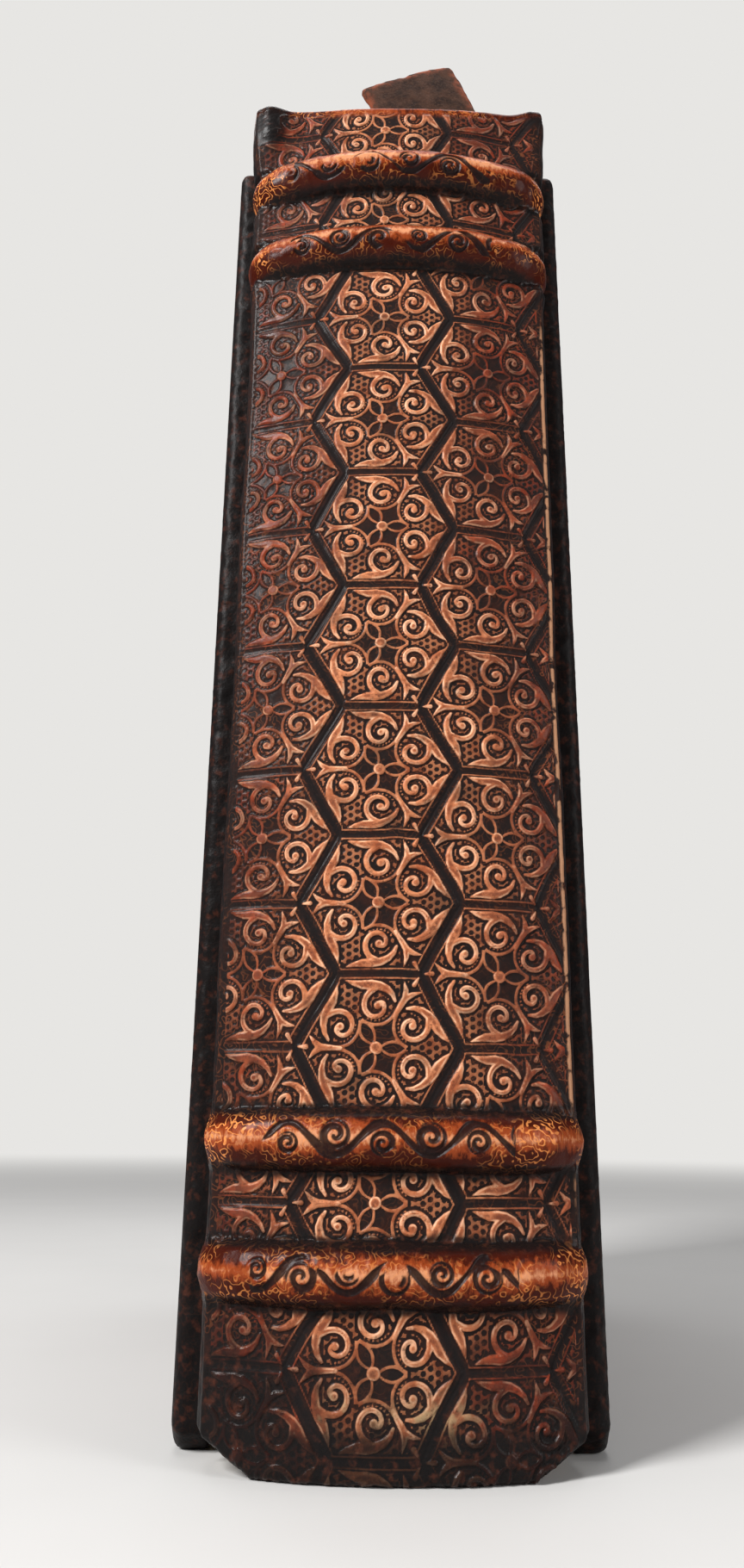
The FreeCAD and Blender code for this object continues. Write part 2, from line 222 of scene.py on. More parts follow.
# The tooling of one stamp. All of it is drawn in one wedge, 60 degrees wide, in sides of the hexagon.
# A half is half of a stroke's width. A segment is its start, its end and its halves there.
WEDGE = 60
LEAF_POINTS = [(0.36, 0.455), (0.45, 0.46), (0.54, 0.43), (0.62, 0.37), (0.68, 0.29), (0.73, 0.20),
               (0.80, 0.12), (0.875, 0.055)]
LEAF_HALVES = [0.018, 0.03, 0.042, 0.052, 0.058, 0.052, 0.032, 0.006]
SPIRAL_MIDDLE = (0.42, 0.24)
SPIRAL_TURNS = [-345, -300, -270, -180, -90, 0]
SPIRAL_RADII = [0.030, 0.060, 0.080, 0.105, 0.140, 0.195]
SPIRAL_HALVES = [0.020, 0.024, 0.026, 0.028, 0.032, 0.036]
SPIRAL_EYE_SHIFT = 0.012
SPIRAL_EYE = 0.048
TIE = ((0.615, 0.225), (0.625, 0.33), 0.034, 0.04)
STEM = ((0.21, 0.364), (0.34, 0.589), 0.026, 0.045)
ARM_POINTS = [(0.33, 0.575), (0.42, 0.62), (0.535, 0.645)]
ARM_HALVES = [0.045, 0.03, 0.004]
DROP = ((0.425, 0.737), (0.475, 0.823), 0.030, 0.012)
HUB_RADIUS = 0.075
PETAL_SPAN = (0.04, 0.36)
PETAL_MIDDLE = 0.2
PETAL_REACH = 0.155
PETAL_BULGE = 0.078
PETAL_HALF = 0.017
RING_MIDDLE = (0.465, 0.255)
RING_RADIUS = 0.26
RING_HALF = 0.018
RING_SPAN = (143, 250)
BEAD_RADIUS = 0.205
BEAD_PITCH = 0.047
BEAD_HALF = 0.014
BEAD_SPAN = (150, 245)
BORDER_INSET = 0.085
BORDER_HALF = 0.010
COMB_SIDE = 0.055
COMB_SHIFT = 0.05
COMB_RING = 0.80
COMB_HALF = 0.012
COMB_CLEAR = {"bold": 0.028, "fine": 0.02, "hub": 0.4, "edge": 0.11}
LEVEL_EASE = 0.04
LEVEL_GAP = 0.03
FAR = 9.0


def stamp_place(u, v):
    """Offset of each point from the middle of its stamp, in sides.

    The middles are two interleaved rows of points, and the nearest one wins.
    """
    offsets = []
    for shift in (0, 1):
        across = (u / STAMP_SIDE - 1.5 * shift) / 3
        along = (v / STAMP_SIDE - ROOT3 / 2 * shift) / ROOT3
        offsets.append(((across - np.round(across)) * 3, (along - np.round(along)) * ROOT3))
    (x, y), (other_x, other_y) = offsets
    nearer = other_x ** 2 + other_y ** 2 < x ** 2 + y ** 2
    return np.where(nearer, other_x, x), np.where(nearer, other_y, y)


def spiral(x, y):
    """Distance to the scroll: a line whose radius shrinks evenly between turns, with a round end."""
    across = x - SPIRAL_MIDDLE[0]
    along = y - SPIRAL_MIDDLE[1]
    reach = np.hypot(across, along)
    turn = np.degrees(np.arctan2(along, across))
    turn = np.where(turn > 0, turn - 360, turn)
    radius = np.interp(turn, SPIRAL_TURNS, SPIRAL_RADII)
    half = np.interp(turn, SPIRAL_TURNS, SPIRAL_HALVES)
    line = np.abs(reach - radius) - half
    eye = np.hypot(across - SPIRAL_EYE_SHIFT, along - SPIRAL_EYE_SHIFT) - SPIRAL_EYE
    return np.minimum(line, eye)


def bold_strokes(x, y):
    """Distance to the leaf, scroll, tie, stem, arm and drop of a wedge and to the round hub."""
    return np.minimum.reduce([
        near_stroke(x, y, LEAF_POINTS, LEAF_HALVES),
        spiral(x, y),
        near_segment(x, y, *TIE),
        near_segment(x, y, *STEM),
        near_stroke(x, y, ARM_POINTS, ARM_HALVES),
        near_segment(x, y, *DROP),
        np.hypot(x, y) - HUB_RADIUS,
    ])


def fine_lines(x, y, edge):
    """Distance to a petal, a ring with beads inside it and a line along the stamp's edge.

    The petal is a parabola's arch. The beads are points at even steps along a circle.
    """
    bulge = PETAL_BULGE * (1 - ((x - PETAL_MIDDLE) / PETAL_REACH) ** 2)
    petal = np.where((x > PETAL_SPAN[0]) & (x < PETAL_SPAN[1]), np.abs(y - bulge) - PETAL_HALF, FAR)
    ring_x = x - RING_MIDDLE[0]
    ring_y = y - RING_MIDDLE[1]
    reach = np.hypot(ring_x, ring_y)
    turn = np.mod(np.degrees(np.arctan2(ring_y, ring_x)), 360)
    on_ring = (turn > RING_SPAN[0]) & (turn < RING_SPAN[1])
    ring = np.where(on_ring, np.abs(reach - RING_RADIUS) - RING_HALF, FAR)
    place = np.radians(turn) * BEAD_RADIUS / BEAD_PITCH
    gap = (place - np.round(place)) * BEAD_PITCH
    beads = np.hypot(gap, reach - BEAD_RADIUS) - BEAD_HALF
    beads = np.where((turn > BEAD_SPAN[0]) & (turn < BEAD_SPAN[1]), beads, FAR)
    border = np.abs(edge - BORDER_INSET) - BORDER_HALF
    return np.minimum.reduce([petal, ring, beads, border])


def comb_cells(x, y, bold, fine, edge):
    """Distance to a comb of small rings, drawn only where the other tooling leaves room."""
    finer = STAMP_SIDE / COMB_SIDE
    cell_x, cell_y = stamp_place((x - COMB_SHIFT) * finer, y * finer)
    comb = np.abs(np.hypot(cell_x, cell_y) - COMB_RING) * COMB_SIDE - COMB_HALF
    clear = (bold > COMB_CLEAR["bold"]) & (fine > COMB_CLEAR["fine"])
    clear = clear & (np.hypot(x, y) > COMB_CLEAR["hub"]) & (edge > COMB_CLEAR["edge"])
    return np.where(clear, comb, FAR)


def stamp_fields(u, v):
    """Signed distances in millimetres, negative inside, of the tooling at each point of a surface.

    Each point is turned and mirrored into one wedge of its stamp. Returned are the distances to the
    bold strokes, the fine lines and the comb, and how far inside the stamp's edge a point lies.
    """
    x, y = stamp_place(u - STAMP_X, v - STAMP_Z)
    reach = np.hypot(x, y)
    turn = np.degrees(np.arctan2(y, x))
    folded = np.radians(WEDGE - np.abs(np.mod(turn, 2 * WEDGE) - WEDGE))
    wedge_x = reach * np.cos(folded)
    wedge_y = reach * np.sin(folded)
    level = ease(-LEVEL_EASE, LEVEL_EASE, np.abs(y) - ROOT3 * np.abs(x))
    edge = ROOT3 / 2 - (wedge_x * ROOT3 / 2 + wedge_y / 2) + LEVEL_GAP * level
    bold = bold_strokes(wedge_x, wedge_y)
    fine = fine_lines(wedge_x, wedge_y, edge)
    comb = comb_cells(wedge_x, wedge_y, bold, fine, edge)
    return bold * STAMP_SIDE, fine * STAMP_SIDE, comb * STAMP_SIDE, edge * STAMP_SIDE


def shoulder(distance, width):
    """1 well inside a stroke, 0 outside, with a rounded shoulder of the given width at its edge."""
    return ease(width * 0.4, -width, distance)


# The back's surface

def outline(u):
    """Point and outward direction of the back's plan outline at arc length u from the crown.

    A wide arc, then a tight corner arc, then a straight side wall, alike on both sides.
    """
    side = np.sign(u)
    length = np.abs(u)
    lean = np.clip(length, 0, ARC_LENGTH) / SPINE_RADIUS
    bend = CORNER_LEAN + np.clip(length - ARC_LENGTH, 0, CORNER_LENGTH) / SPINE_CORNER
    wall = np.maximum(length - ARC_LENGTH - CORNER_LENGTH, 0)
    on_arc = length <= ARC_LENGTH
    x = np.where(on_arc, SPINE_RADIUS * np.sin(lean), CORNER_X + SPINE_CORNER * np.sin(bend))
    y = np.where(on_arc, ARC_CENTRE_Y - SPINE_RADIUS * np.cos(lean),
                 CORNER_Y - SPINE_CORNER * np.cos(bend) + wall)
    face = np.where(on_arc, lean, bend)
    return x * side, y, np.sin(face) * side, -np.cos(face)


def band_field(u, z):
    """Height of the raised bands over the back, how near each point is to one and to its painted highlight.

    Each band is a round roll whose rise shrinks towards the sides, blended into the back by the
    square root that rounds off a corner.
    """
    length = np.abs(u)
    rise = BAND_RISE - BAND_SAG * (length / ARC_LENGTH) ** 2
    side = ease(ARC_LENGTH - SPINE_CORNER, ARC_LENGTH + CORNER_LENGTH, length)
    rise = rise + (BAND_SIDE_RISE - rise) * side
    fade = ease(OUTLINE_LENGTH - 0.3, OUTLINE_LENGTH - 1.8, length)
    height = np.zeros(np.shape(z))
    on_band = np.zeros(np.shape(z))
    across = np.full(np.shape(z), OFF)
    for number, middle in enumerate(BAND_Z):
        wander = BAND_WANDER * rough(u, 0, 0, 14, 40 + number, 2)
        gap = np.abs(z - middle - wander)
        # Place across the band, counted from where its painted highlight lies
        place = (z - middle - wander) / BAND_RADIUS - BAND_HIGHLIGHT_PLACE[number]
        across = np.where(gap < 2 * BAND_RADIUS, place, across)
        inside = np.sqrt(np.clip(BAND_RADIUS ** 2 - gap ** 2, 0, None))
        roll = inside - (BAND_RADIUS - rise) - BAND_FLANK * np.maximum(gap - BAND_RADIUS, 0)
        roll = (roll + np.sqrt(roll ** 2 + BAND_BLEND)) / 2
        height = height + roll * ease(BAND_RADIUS + 4, BAND_RADIUS + 1, gap)
        on_band = np.maximum(on_band, ease(BAND_RADIUS + 0.4, BAND_RADIUS - 0.9, gap))
    return height * fade, on_band, across


# The vine and its tendrils on the bands
CURL_ARM = 1.35
CURL_REACH = 2.1
CURL_HALF = 0.22
CURL_SWELL = 0.21
CURL_SCALES = (0.7, 0.45)
CURL_LIFT = 0.4
CURL_WEAR = 0.55
VINE_SWING = 2.3
VINE_HALVES = (0.30, 0.50)
VINE_PITCH = 6.6
VINE_PITCH_STEP = 0.4


def curl_field(u, z):
    """Distance to the ornament tooled along each band: a wavy vine with a coiled tendril in each bend.

    The vine is a cosine wave. The tendrils are spirals of changing size, turned by turns.
    """
    gap = np.full(np.shape(z), FAR)
    for number, middle in enumerate(BAND_Z):
        pitch = VINE_PITCH + VINE_PITCH_STEP * number
        chance = np.random.default_rng(77 + number).random((64, 3))
        place = u / pitch + 0.25 * number
        cell = np.round(place)
        size, lift, start = np.moveaxis(chance[np.mod(cell.astype(int), 64)], -1, 0)
        flip = np.where(np.mod(cell, 2) > 0, -1, 1)
        scale = CURL_SCALES[0] + CURL_SCALES[1] * size
        across = (place - cell) * pitch * flip / scale
        above = z - middle - CURL_RISES[number] * BAND_RADIUS
        along = (above * flip + CURL_LIFT + 0.5 * (lift - 0.5)) / scale
        reach = np.hypot(across, along)
        turn = np.arctan2(along, across) / (2 * math.pi)
        arm = np.mod(reach / CURL_ARM - turn - start, 1) - 0.5
        coil = np.abs(arm) * CURL_ARM - CURL_HALF - CURL_SWELL * reach
        coil = np.maximum(coil, reach - CURL_REACH)
        slope = VINE_SWING * math.pi / pitch * np.sin(math.pi * place)
        vine = np.abs(above - VINE_SWING * np.cos(math.pi * place)) / np.hypot(1, slope)
        swell = VINE_HALVES[0] + VINE_HALVES[1] * lumps(u, 0, 0, 2.6, 90 + number)
        gap = np.minimum(gap, np.minimum(coil, vine - swell))
    return gap + CURL_WEAR * ease(0.10, 0.40, rough(u, z, 0, 5, 97, 2))


def tail_lift(u):
    """Height of the tail edge over the table: flat in the middle, cut away at both corners."""
    x, _, _, _ = outline(u)
    beyond = np.abs(x) - (SPINE_HALF - TAIL_CUT_WIDTH)
    ragged = 0.5 * rough(u, 0, 0, 3.0, 71, 3)
    return np.clip(beyond / TAIL_CUT_WIDTH, 0, 1) * TAIL_CUT_HEIGHT + np.abs(ragged) * ease(-2, 3, beyond)


def head_drop(u):
    """How far the head edge lies under its highest point: a parabola between rounded corners."""
    x, _, _, _ = outline(u)
    ragged = 0.3 * rough(u, 0, 0, 8.0, 83, 2)
    rounded = HEAD_CORNER * ease(ARC_LENGTH + 0.5, ARC_LENGTH + 5.5, np.abs(u)) ** 2
    return HEAD_HOLLOW * (1 - (x / SPINE_HALF) ** 2) + 0.6 + ragged + rounded


def ear_field(u, z):
    """The folded ears at both ends of the head: full on the left one, weaker on the right one."""
    left = bell(u + ARC_LENGTH - 0.8, 3.4) * ease(HEAD_Z - 16, HEAD_Z - 8, z)
    right = bell(u - ARC_LENGTH - 1.0, 2.4) * ease(HEAD_Z - 9, HEAD_Z - 3, z)
    return np.clip(left + 0.6 * right, 0, 1)


def head_roll_field(u, z):
    """1 along the rolled head edge, 0 below it."""
    head_edge = HEAD_Z - head_drop(u)
    return ease(head_edge - HEAD_ROLL_LOW, head_edge - HEAD_ROLL_HIGH, z)


def spine_height(u, z):
    """Height of the finished leather over the plain back, and the masks that colour it.

    Bands, stamps, worn rims, the folded ears at the head and slow waves are added up.
    """
    bands, on_band, across = band_field(u, z)
    panel = 1 - ease(0.02, 0.6, bands)
    length = np.abs(u)
    field = ease(ARC_LENGTH + 1.6, ARC_LENGTH - 0.4, length)
    ear = ear_field(u, z)
    head_roll = head_roll_field(u, z)
    rubbed_tail = ease(26, 6, z) * ease(-0.35, 0.25, rough(u, z, 1, 7, 101, 3))
    worn = panel * field * (1 - 0.75 * ear) * (1 - 0.45 * rubbed_tail) * (1 - head_roll)
    across_drift = 0.55 * rough(u, z, 0, 9, 11, 2)
    up_drift = 0.5 * rough(u, z, 5, 8, 17, 2)
    bold, fine, comb, edge = stamp_fields(u + across_drift, z + up_drift)
    depth = 0.75 + 0.5 * rough(u, z, 3, 16, 23, 2)
    soft = np.clip(1.05 - 0.28 * ease(0.1, 0.5, rough(u, z, 9, 22, 29, 2)), 0.6, 1.1)
    tooling = (STROKE_RISE * shoulder(bold, 0.24)
               + LINE_RISE * shoulder(fine, 0.16) * (1 - shoulder(bold, 0.24))
               + COMB_RISE * shoulder(comb, 0.14)
               - STAMP_MARGIN * ease(1.1, 0.5, edge)
               - STAMP_EDGE_CUT * ease(0.30, 0.05, edge))
    curls = curl_field(u, z)
    on_curl = on_band * field * ease(22, 17, np.abs(u + 1.5))
    wrinkles = (creases(u, z * 1.2, 0, 2.4, 53) - 0.6) * (1 - shoulder(curls, 0.6) * on_curl)
    rim = bell(length - (ARC_LENGTH + 1.6), 0.55) * panel
    flare = 0.7 * ease(206, 213, z) + 0.6 * ease(BAND_Z[3] + 3, BAND_Z[3] + 9, z)
    flare = flare * ease(ARC_LENGTH - 5, ARC_LENGTH + 3.5, length) * (1 - on_band)
    height = (bands + worn * depth * soft * tooling - CURL_CUT * on_curl * shoulder(curls, 0.34)
              + BAND_WRINKLES * on_band * wrinkles + RIM_RISE * rim + flare
              + 0.5 * rough(u, z, 0, 26, 31, 2) * (1 - 0.7 * on_band)
              + 0.10 * rough(u, z, 2, 2.2, 37, 2)
              + ear * (EAR_RISE + 0.5 * rough(u, z * 0.7, 4, 7, 43, 2)))
    masks = {
        "bold": np.where(worn > 0.4, bold, OFF),
        "fine": np.where(worn > 0.4, fine, OFF),
        "comb": np.where(worn > 0.4, comb, OFF),
        "edge": edge,
        "band": np.maximum(on_band, head_roll),
        # roll places the painted highlight and the painted shade across the bands and the head roll
        "roll": np.where(head_roll > 0, HEAD_ROLL_HIGHLIGHT_PLACE, across),
        "curl": np.where(on_curl > 0.5, curls, OFF),
        # The rim colour lies on the right rim only: wear, and a painted rim highlight
        "rim": rim * ease(0.5, 1, u / length.max() + 0.8) * ease(20, 60, z) * ease(212, 190, z),
    }
    return height, masks


# Spots of soot, and worn spots painted pale gold with painted glints: middle and half-width along the
# outline, the same in height, and strength
SOOT_SPOTS = ((-24, 11, 4, 17, 1.3), (27, 7, 2, 10, 1.2), (-22, 12, 196, 26, 0.55))
WORN_GLINT_SPOTS = ((-7.5, 3.5, 9, 3, 1.0), (5.5, 7, 8.5, 2.6, 1.0))


def spots(u, z, places):
    """The strongest of some round spots at each point. A spot is a bell curve along and up the back."""
    return np.maximum.reduce([strength * bell(u - along, wide) * bell(z - up, high)
                              for along, wide, up, high, strength in places])


def spine_soot_and_shade(u, z, on_band):
    """Blackened places of the back: the ears, the tail corners and the sides, and painted shade at the feet
    of the bands.
    """
    sides = ease(ARC_LENGTH + 1.8, ARC_LENGTH + 4.0, np.abs(u)) * (1 - on_band)
    left_edge = 0.40 * ease(-ARC_LENGTH + 5, -ARC_LENGTH + 1, u) * (1 - on_band)
    tail_edge = ease(9.5, 1.5, z) * 0.75 + 0.52 * ease(28, 12, z)
    places = [sides, left_edge, tail_edge, spots(u, z, SOOT_SPOTS), ear_field(u, z) * 1.2]
    # Painted shade along the feet of each band
    places += [0.95 * bell(np.abs(z - middle) - BAND_RADIUS + 0.3, 1.5) for middle in BAND_Z]
    return np.clip(np.maximum.reduce(places), 0, 1.3)


def spine_warmth(u, z):
    """How copper the strokes are: most along the middle and low on the main panel, least at the sides. The
    copper middle is partly the leather's own colour and partly a painted highlight.
    """
    middle = bell(u + 1.0, 14)
    low = 0.48 * ease(165, 95, z) * bell(u, 26)
    return np.clip(0.10 + 0.75 * middle + low - 0.55 * ease(28, 10, z), 0, 1)


def spine_rows():
    """Heights of the rows of the back's grid, and how far each is drawn in to roll over both ends.

    The rows at an end follow a quarter of a circle.
    """
    size = bpy.context.scene.book_spine.cell / MM
    rows = steps(0, HEAD_Z, size)
    roll = END_ROUND
    turns = np.radians([15, 30, 45, 60, 75, 90])
    rows = rows[(rows >= roll) & (rows <= HEAD_Z - roll)]
    rolled_z = roll * (1 - np.sin(turns))
    rolled_in = roll * (1 - np.cos(turns))
    inset = np.concatenate([rolled_in[::-1], np.zeros(len(rows) + 2), rolled_in])
    rows = np.concatenate([rolled_z[::-1], [roll], rows, [HEAD_Z - roll], HEAD_Z - rolled_z])
    return rows, inset


def spine_surface():
    """The whole outer face of the back as a grid of points, with its masks.

    Each point is the plan outline at its column, pushed out by the leather's height at its row.
    """
    size = bpy.context.scene.book_spine.cell / MM
    wide = ARC_LENGTH + CORNER_LENGTH
    side = steps(wide, OUTLINE_LENGTH, WALL_CELL)[1:]
    columns = np.concatenate([-side[::-1], steps(-wide, wide, size), side])
    rows, inset = spine_rows()
    u, z = np.meshgrid(columns, rows)
    foot = ease(14, 0, z)
    crown = ease(HEAD_Z - 12, HEAD_Z, z)
    z = z + tail_lift(u) * foot - head_drop(u) * crown
    height, masks = spine_height(u, z)
    still = ease(OUTLINE_LENGTH, OUTLINE_LENGTH - 1.2, np.abs(u))
    height = height * still - inset[:, None]
    x, y, out_x, out_y = outline(u)
    points = np.stack([x + out_x * height, y + out_y * height, z], axis=2)
    masks["side"] = u / ARC_LENGTH
    masks["soot_and_shade"] = spine_soot_and_shade(u, z, masks["band"])
    masks["warm"] = spine_warmth(u, z)
    # Worn spots at the tail, painted pale gold with painted glints
    masks["worn_glint"] = spots(u, z, WORN_GLINT_SPOTS)
    return points, masks


# Meshes

MIRROR = (-1, 1, 1)
PLAIN = {"soot_and_shade": 1, "warm": 0, "rim": 0, "bold": OFF, "fine": OFF, "comb": OFF, "edge": OFF, "band": 0,
         "roll": OFF, "curl": OFF, "worn_glint": 0, "side": 1}


def plain_masks(z):
    """Masks of plain black leather, with no tooling on it, one value for each value given."""
    return {name: np.full(np.shape(z), float(value)) for name, value in PLAIN.items()}


def to_mesh(name, points, faces, smooth=True):
    """A new object from points in millimetres and a list of faces."""
    mesh = bpy.data.meshes.new(name)
    mesh.from_pydata(np.asarray(points, float) * MM, [], faces)
    mesh.polygons.foreach_set("use_smooth", np.full(len(mesh.polygons), smooth))
    mesh.update()
    piece = bpy.data.objects.new(name, mesh)
    bpy.context.scene.collection.objects.link(piece)
    return piece


def add_masks(piece, masks, count, rest=None):
    """Stores each mask at the mesh's vertices. Vertices past the grid's own get rest, or its last value."""
    total = len(piece.data.vertices)
    for name, values in masks.items():
        flat = np.empty(total, np.float32)
        flat[:count] = np.ravel(values)
        flat[count:] = rest[name] if rest else flat[count - 1]
        layer = piece.data.attributes.new(name, "FLOAT", "POINT")
        layer.data.foreach_set("value", flat)


def grid_faces(rows, columns, start=0, flip=False):
    """Squares between the neighbours of a grid whose points are numbered row by row."""
    index = np.arange(rows * columns).reshape(rows, columns) + start
    square = np.stack([index[:-1, :-1], index[:-1, 1:], index[1:, 1:], index[1:, :-1]], axis=2)
    square = square.reshape(-1, 4)
    return square[:, ::-1] if flip else square


def grid_border(rows, columns):
    """Numbers of the points round a grid's border, once round."""
    index = np.arange(rows * columns).reshape(rows, columns)
    return np.concatenate([index[0, :-1], index[:-1, -1], index[-1, :0:-1], index[:0:-1, 0]])


def unit(vectors):
    """Vectors at length 1."""
    return vectors / np.maximum(np.linalg.norm(vectors, axis=2, keepdims=True), 1e-9)


def grid_normals(points):
    """Outward directions on a grid: the cross product of its two slopes."""
    return unit(np.cross(np.gradient(points, axis=1), np.gradient(points, axis=0)))


def set_normals(piece, normals, count):
    """Gives the corners of a mesh's first faces the directions worked out on the whole grid.

    The seams between neighbouring pieces then don't show. Other corners keep their own.
    """
    mesh = piece.data
    corner_vertex = np.empty(len(mesh.loops), np.int64)
    mesh.loops.foreach_get("vertex_index", corner_vertex)
    loop_total = np.empty(len(mesh.polygons), np.int64)
    mesh.polygons.foreach_get("loop_total", loop_total)
    face_normal = np.empty(len(mesh.polygons) * 3)
    mesh.polygons.foreach_get("normal", face_normal)
    owner = np.repeat(np.arange(len(mesh.polygons)), loop_total)
    result = face_normal.reshape(-1, 3)[owner]
    outer = owner < count
    result[outer] = normals.reshape(-1, 3)[corner_vertex[outer]]
    mesh.normals_split_custom_set(result)


def slab(name, points, normals, masks, backing):
    """A closed slab: a fine outer grid, a plain back and flat ends.

    backing holds one row of points behind the grid's first row and one behind its last.
    """
    rows, columns = points.shape[:2]
    index = np.arange(rows * columns).reshape(rows, columns)
    first = rows * columns + np.arange(columns)
    last = first + columns
    faces = grid_faces(rows, columns).tolist()
    outer_count = len(faces)
    faces += np.stack([first[1:], index[0, 1:], index[0, :-1], first[:-1]], 1).tolist()
    faces += np.stack([last[:-1], index[-1, :-1], index[-1, 1:], last[1:]], 1).tolist()
    faces += np.stack([first[:-1], last[:-1], last[1:], first[1:]], 1).tolist()
    faces.append([int(first[0])] + index[:, 0].tolist() + [int(last[0])])
    faces.append([int(last[-1])] + index[::-1, -1].tolist() + [int(first[-1])])
    piece = to_mesh(name, np.concatenate([points.reshape(-1, 3), *backing]), faces)
    add_masks(piece, masks, rows * columns)
    set_normals(piece, normals, outer_count)
    return piece


def sheet_slab(name, front, back, masks):
    """A closed slab between two grids of the same size, the first facing out."""
    rows, columns = front.shape[:2]
    count = rows * columns
    faces = grid_faces(rows, columns).tolist() + grid_faces(rows, columns, count, True).tolist()
    border = grid_border(rows, columns)
    after = np.roll(border, -1)
    faces += np.stack([border, border + count, after + count, after], 1).tolist()
    piece = to_mesh(name, np.concatenate([front.reshape(-1, 3), back.reshape(-1, 3)]), faces)
    add_masks(piece, {key: np.tile(np.ravel(values), 2) for key, values in masks.items()}, 2 * count)
    return piece


# The covers

def cover_place(across, along, inset):
    """Depth and height on a cover's outline, shrunk by an inset, from two shares.

    The near corners are cut at 45 degrees and the far ones are round.
    """
    height = COVER_HIGH[2]
    near = HINGE_Y + bpy.context.scene.book_cover.joint_gap / MM
    z = inset + along * (height - 2 * inset)
    from_end = np.minimum(z - inset, height - inset - z)
    bevel = np.maximum(COVER_BEVEL - (2 - math.sqrt(2)) * inset, 0.5)
    curve = np.maximum(COVER_ROUND - inset, COVER_ROUND / 4)
    low = near + inset + np.maximum(bevel - from_end, 0)
    beyond = np.clip(curve - from_end, 0, curve)
    high = COVER_HIGH[1] - inset - (curve - np.sqrt(curve ** 2 - beyond ** 2))
    return low + across * (high - low), z


def cover_loops():
    """Insets and places across the board of the loops from the outer face round to the inner one.

    Both edges follow a quarter of a circle.
    """
    outer_x = COVER_HIGH[0] - COVER_RELIEF
    inner_round = 1.0
    turns = np.radians([18, 36, 54, 72, 90])
    inset = COVER_EDGE * (1 - np.sin(turns))
    x = outer_x - COVER_EDGE * (1 - np.cos(turns))
    side = steps(outer_x - COVER_EDGE, COVER_INNER_X + inner_round, 0.8)[1:]
    back_inset = inner_round * (1 - np.cos(turns))
    back_x = COVER_INNER_X + inner_round * (1 - np.sin(turns))
    flat = np.array([2.0, 4.0, 6.0, 8.5])
    insets = np.concatenate([inset, np.zeros(len(side)), back_inset, flat])
    places = np.concatenate([x, side, back_x, np.full(len(flat), COVER_INNER_X)])
    return insets, places


def cover_face(s, t, seed):
    """The embossed outer face of a cover as a grid of points, with its masks.

    Stamps fill the field inside a plain border with one blind line. The relief dies out at the edge.
    """
    y, z = cover_place(s, t, COVER_EDGE)
    middle = (HINGE_Y + COVER_HIGH[1]) / 2
    drift = 0.6 * rough(y, z, 0, 12, seed, 2)
    bold, _, _, edge = stamp_fields(y - middle + STAMP_X + drift, z + drift)
    gap = np.minimum.reduce([z, COVER_HIGH[2] - z, y - HINGE_Y - 3, COVER_HIGH[1] - y])
    field = ease(6.5, 8.0, gap)
    tooling = (0.42 * shoulder(bold, 0.5) - 0.25 * ease(1.2, 0.2, edge)) * field - 0.3 * bell(gap - 6.2, 0.5)
    relief = tooling + 0.25 * rough(y, z, 0, 40, seed + 7, 2) + 0.06 * rough(y, z, 1, 3, seed + 9, 2)
    relief = relief * ease(0, 2.5, gap - COVER_EDGE)
    masks = plain_masks(y)
    masks["bold"] = np.where(field > 0.5, bold, OFF)
    masks["edge"] = np.where(field > 0.5, edge, OFF)
    masks["rim"] = ease(3.4, 1.6, gap) * ease(0.35, 0.75, lumps(y, z, 0, 7, seed + 30))
    masks["soot_and_shade"] = 0.30 + 0.45 * rough(y, z, 0, 60, seed + 31, 3) + 0.35 * ease(12, 3, gap)
    masks["warm"] = 0.20 + 0.30 * rough(y, z, 0, 70, seed + 32, 3)
    return np.stack([COVER_HIGH[0] - COVER_RELIEF + relief, y, z], axis=2), masks


def cover_edge(face, s, t, seed):
    """Loops of points from a cover's outer face round its edge to its inner face.

    Each loop is the face's border with its own inset and place across the board. Creases lift the
    leather along its direction, most of all near the joint.
    """
    border = grid_border(*s.shape)
    loops = [face.reshape(-1, 3)[border]]
    for inset, x in zip(*cover_loops()):
        y, z = cover_place(s.ravel()[border], t.ravel()[border], inset)
        loops.append(np.stack([np.full(len(y), x), y, z], axis=1))
    loops = np.array(loops)
    wide = np.concatenate([loops[:, -1:], loops, loops[:, :1]], axis=1)
    normal = unit(np.cross(np.gradient(loops, axis=0), np.gradient(wide, axis=1)[:, 1:-1]))
    x, y, z = np.moveaxis(loops, 2, 0)
    nearness = ease(HINGE_Y + 9, HINGE_Y + 4, y)
    folds = 0.5 * creases(x * 0.6, y, z * 1.4, 2.6, seed + 20) + 0.5 * creases(x, y, z, 1.3, seed + 21)
    lift = (folds - 0.75) * (0.22 + 0.6 * nearness)
    number = np.arange(len(loops))
    quiet = ease(0, 3, number) * ease(len(loops) - 2, len(loops) - 8, number)
    return loops + normal * (lift * quiet[:, None])[:, :, None]


def cover_shell(name, mirror):
    """A closed leather cover: an embossed outer face, wrinkled rounded edges and a flat inner face.

    The outer face is a grid over the outline. The edges join its border, loop by loop, to one flat
    inner face.
    """
    cell = bpy.context.scene.book_cover.cell / MM
    seed = 300 if mirror else 200
    s, t = np.meshgrid(steps(0, 1, cell / (COVER_HIGH[1] - HINGE_Y)), steps(0, 1, cell / COVER_HIGH[2]))
    face, masks = cover_face(s, t, seed)
    loops = cover_edge(face, s, t, seed)
    rows, columns = s.shape
    count = rows * columns
    ring = loops.shape[1]
    loop_index = count + np.arange((len(loops) - 1) * ring).reshape(-1, ring)
    loop_index = np.concatenate([grid_border(rows, columns)[None], loop_index])
    after = np.roll(loop_index, -1, axis=1)
    strips = np.stack([loop_index[:-1], loop_index[1:], after[1:], after[:-1]], axis=2)
    faces = grid_faces(rows, columns).tolist() + strips.reshape(-1, 4).tolist()
    faces.append(loop_index[-1, ::-1].tolist())
    points = np.concatenate([face.reshape(-1, 3), loops[1:].reshape(-1, 3)])
    if mirror:
        points = points * MIRROR
        faces = [corners[::-1] for corners in faces]
    piece = to_mesh(name, points, faces)
    add_masks(piece, masks, count, plain_masks(0.0))
    return piece


# Smaller pieces

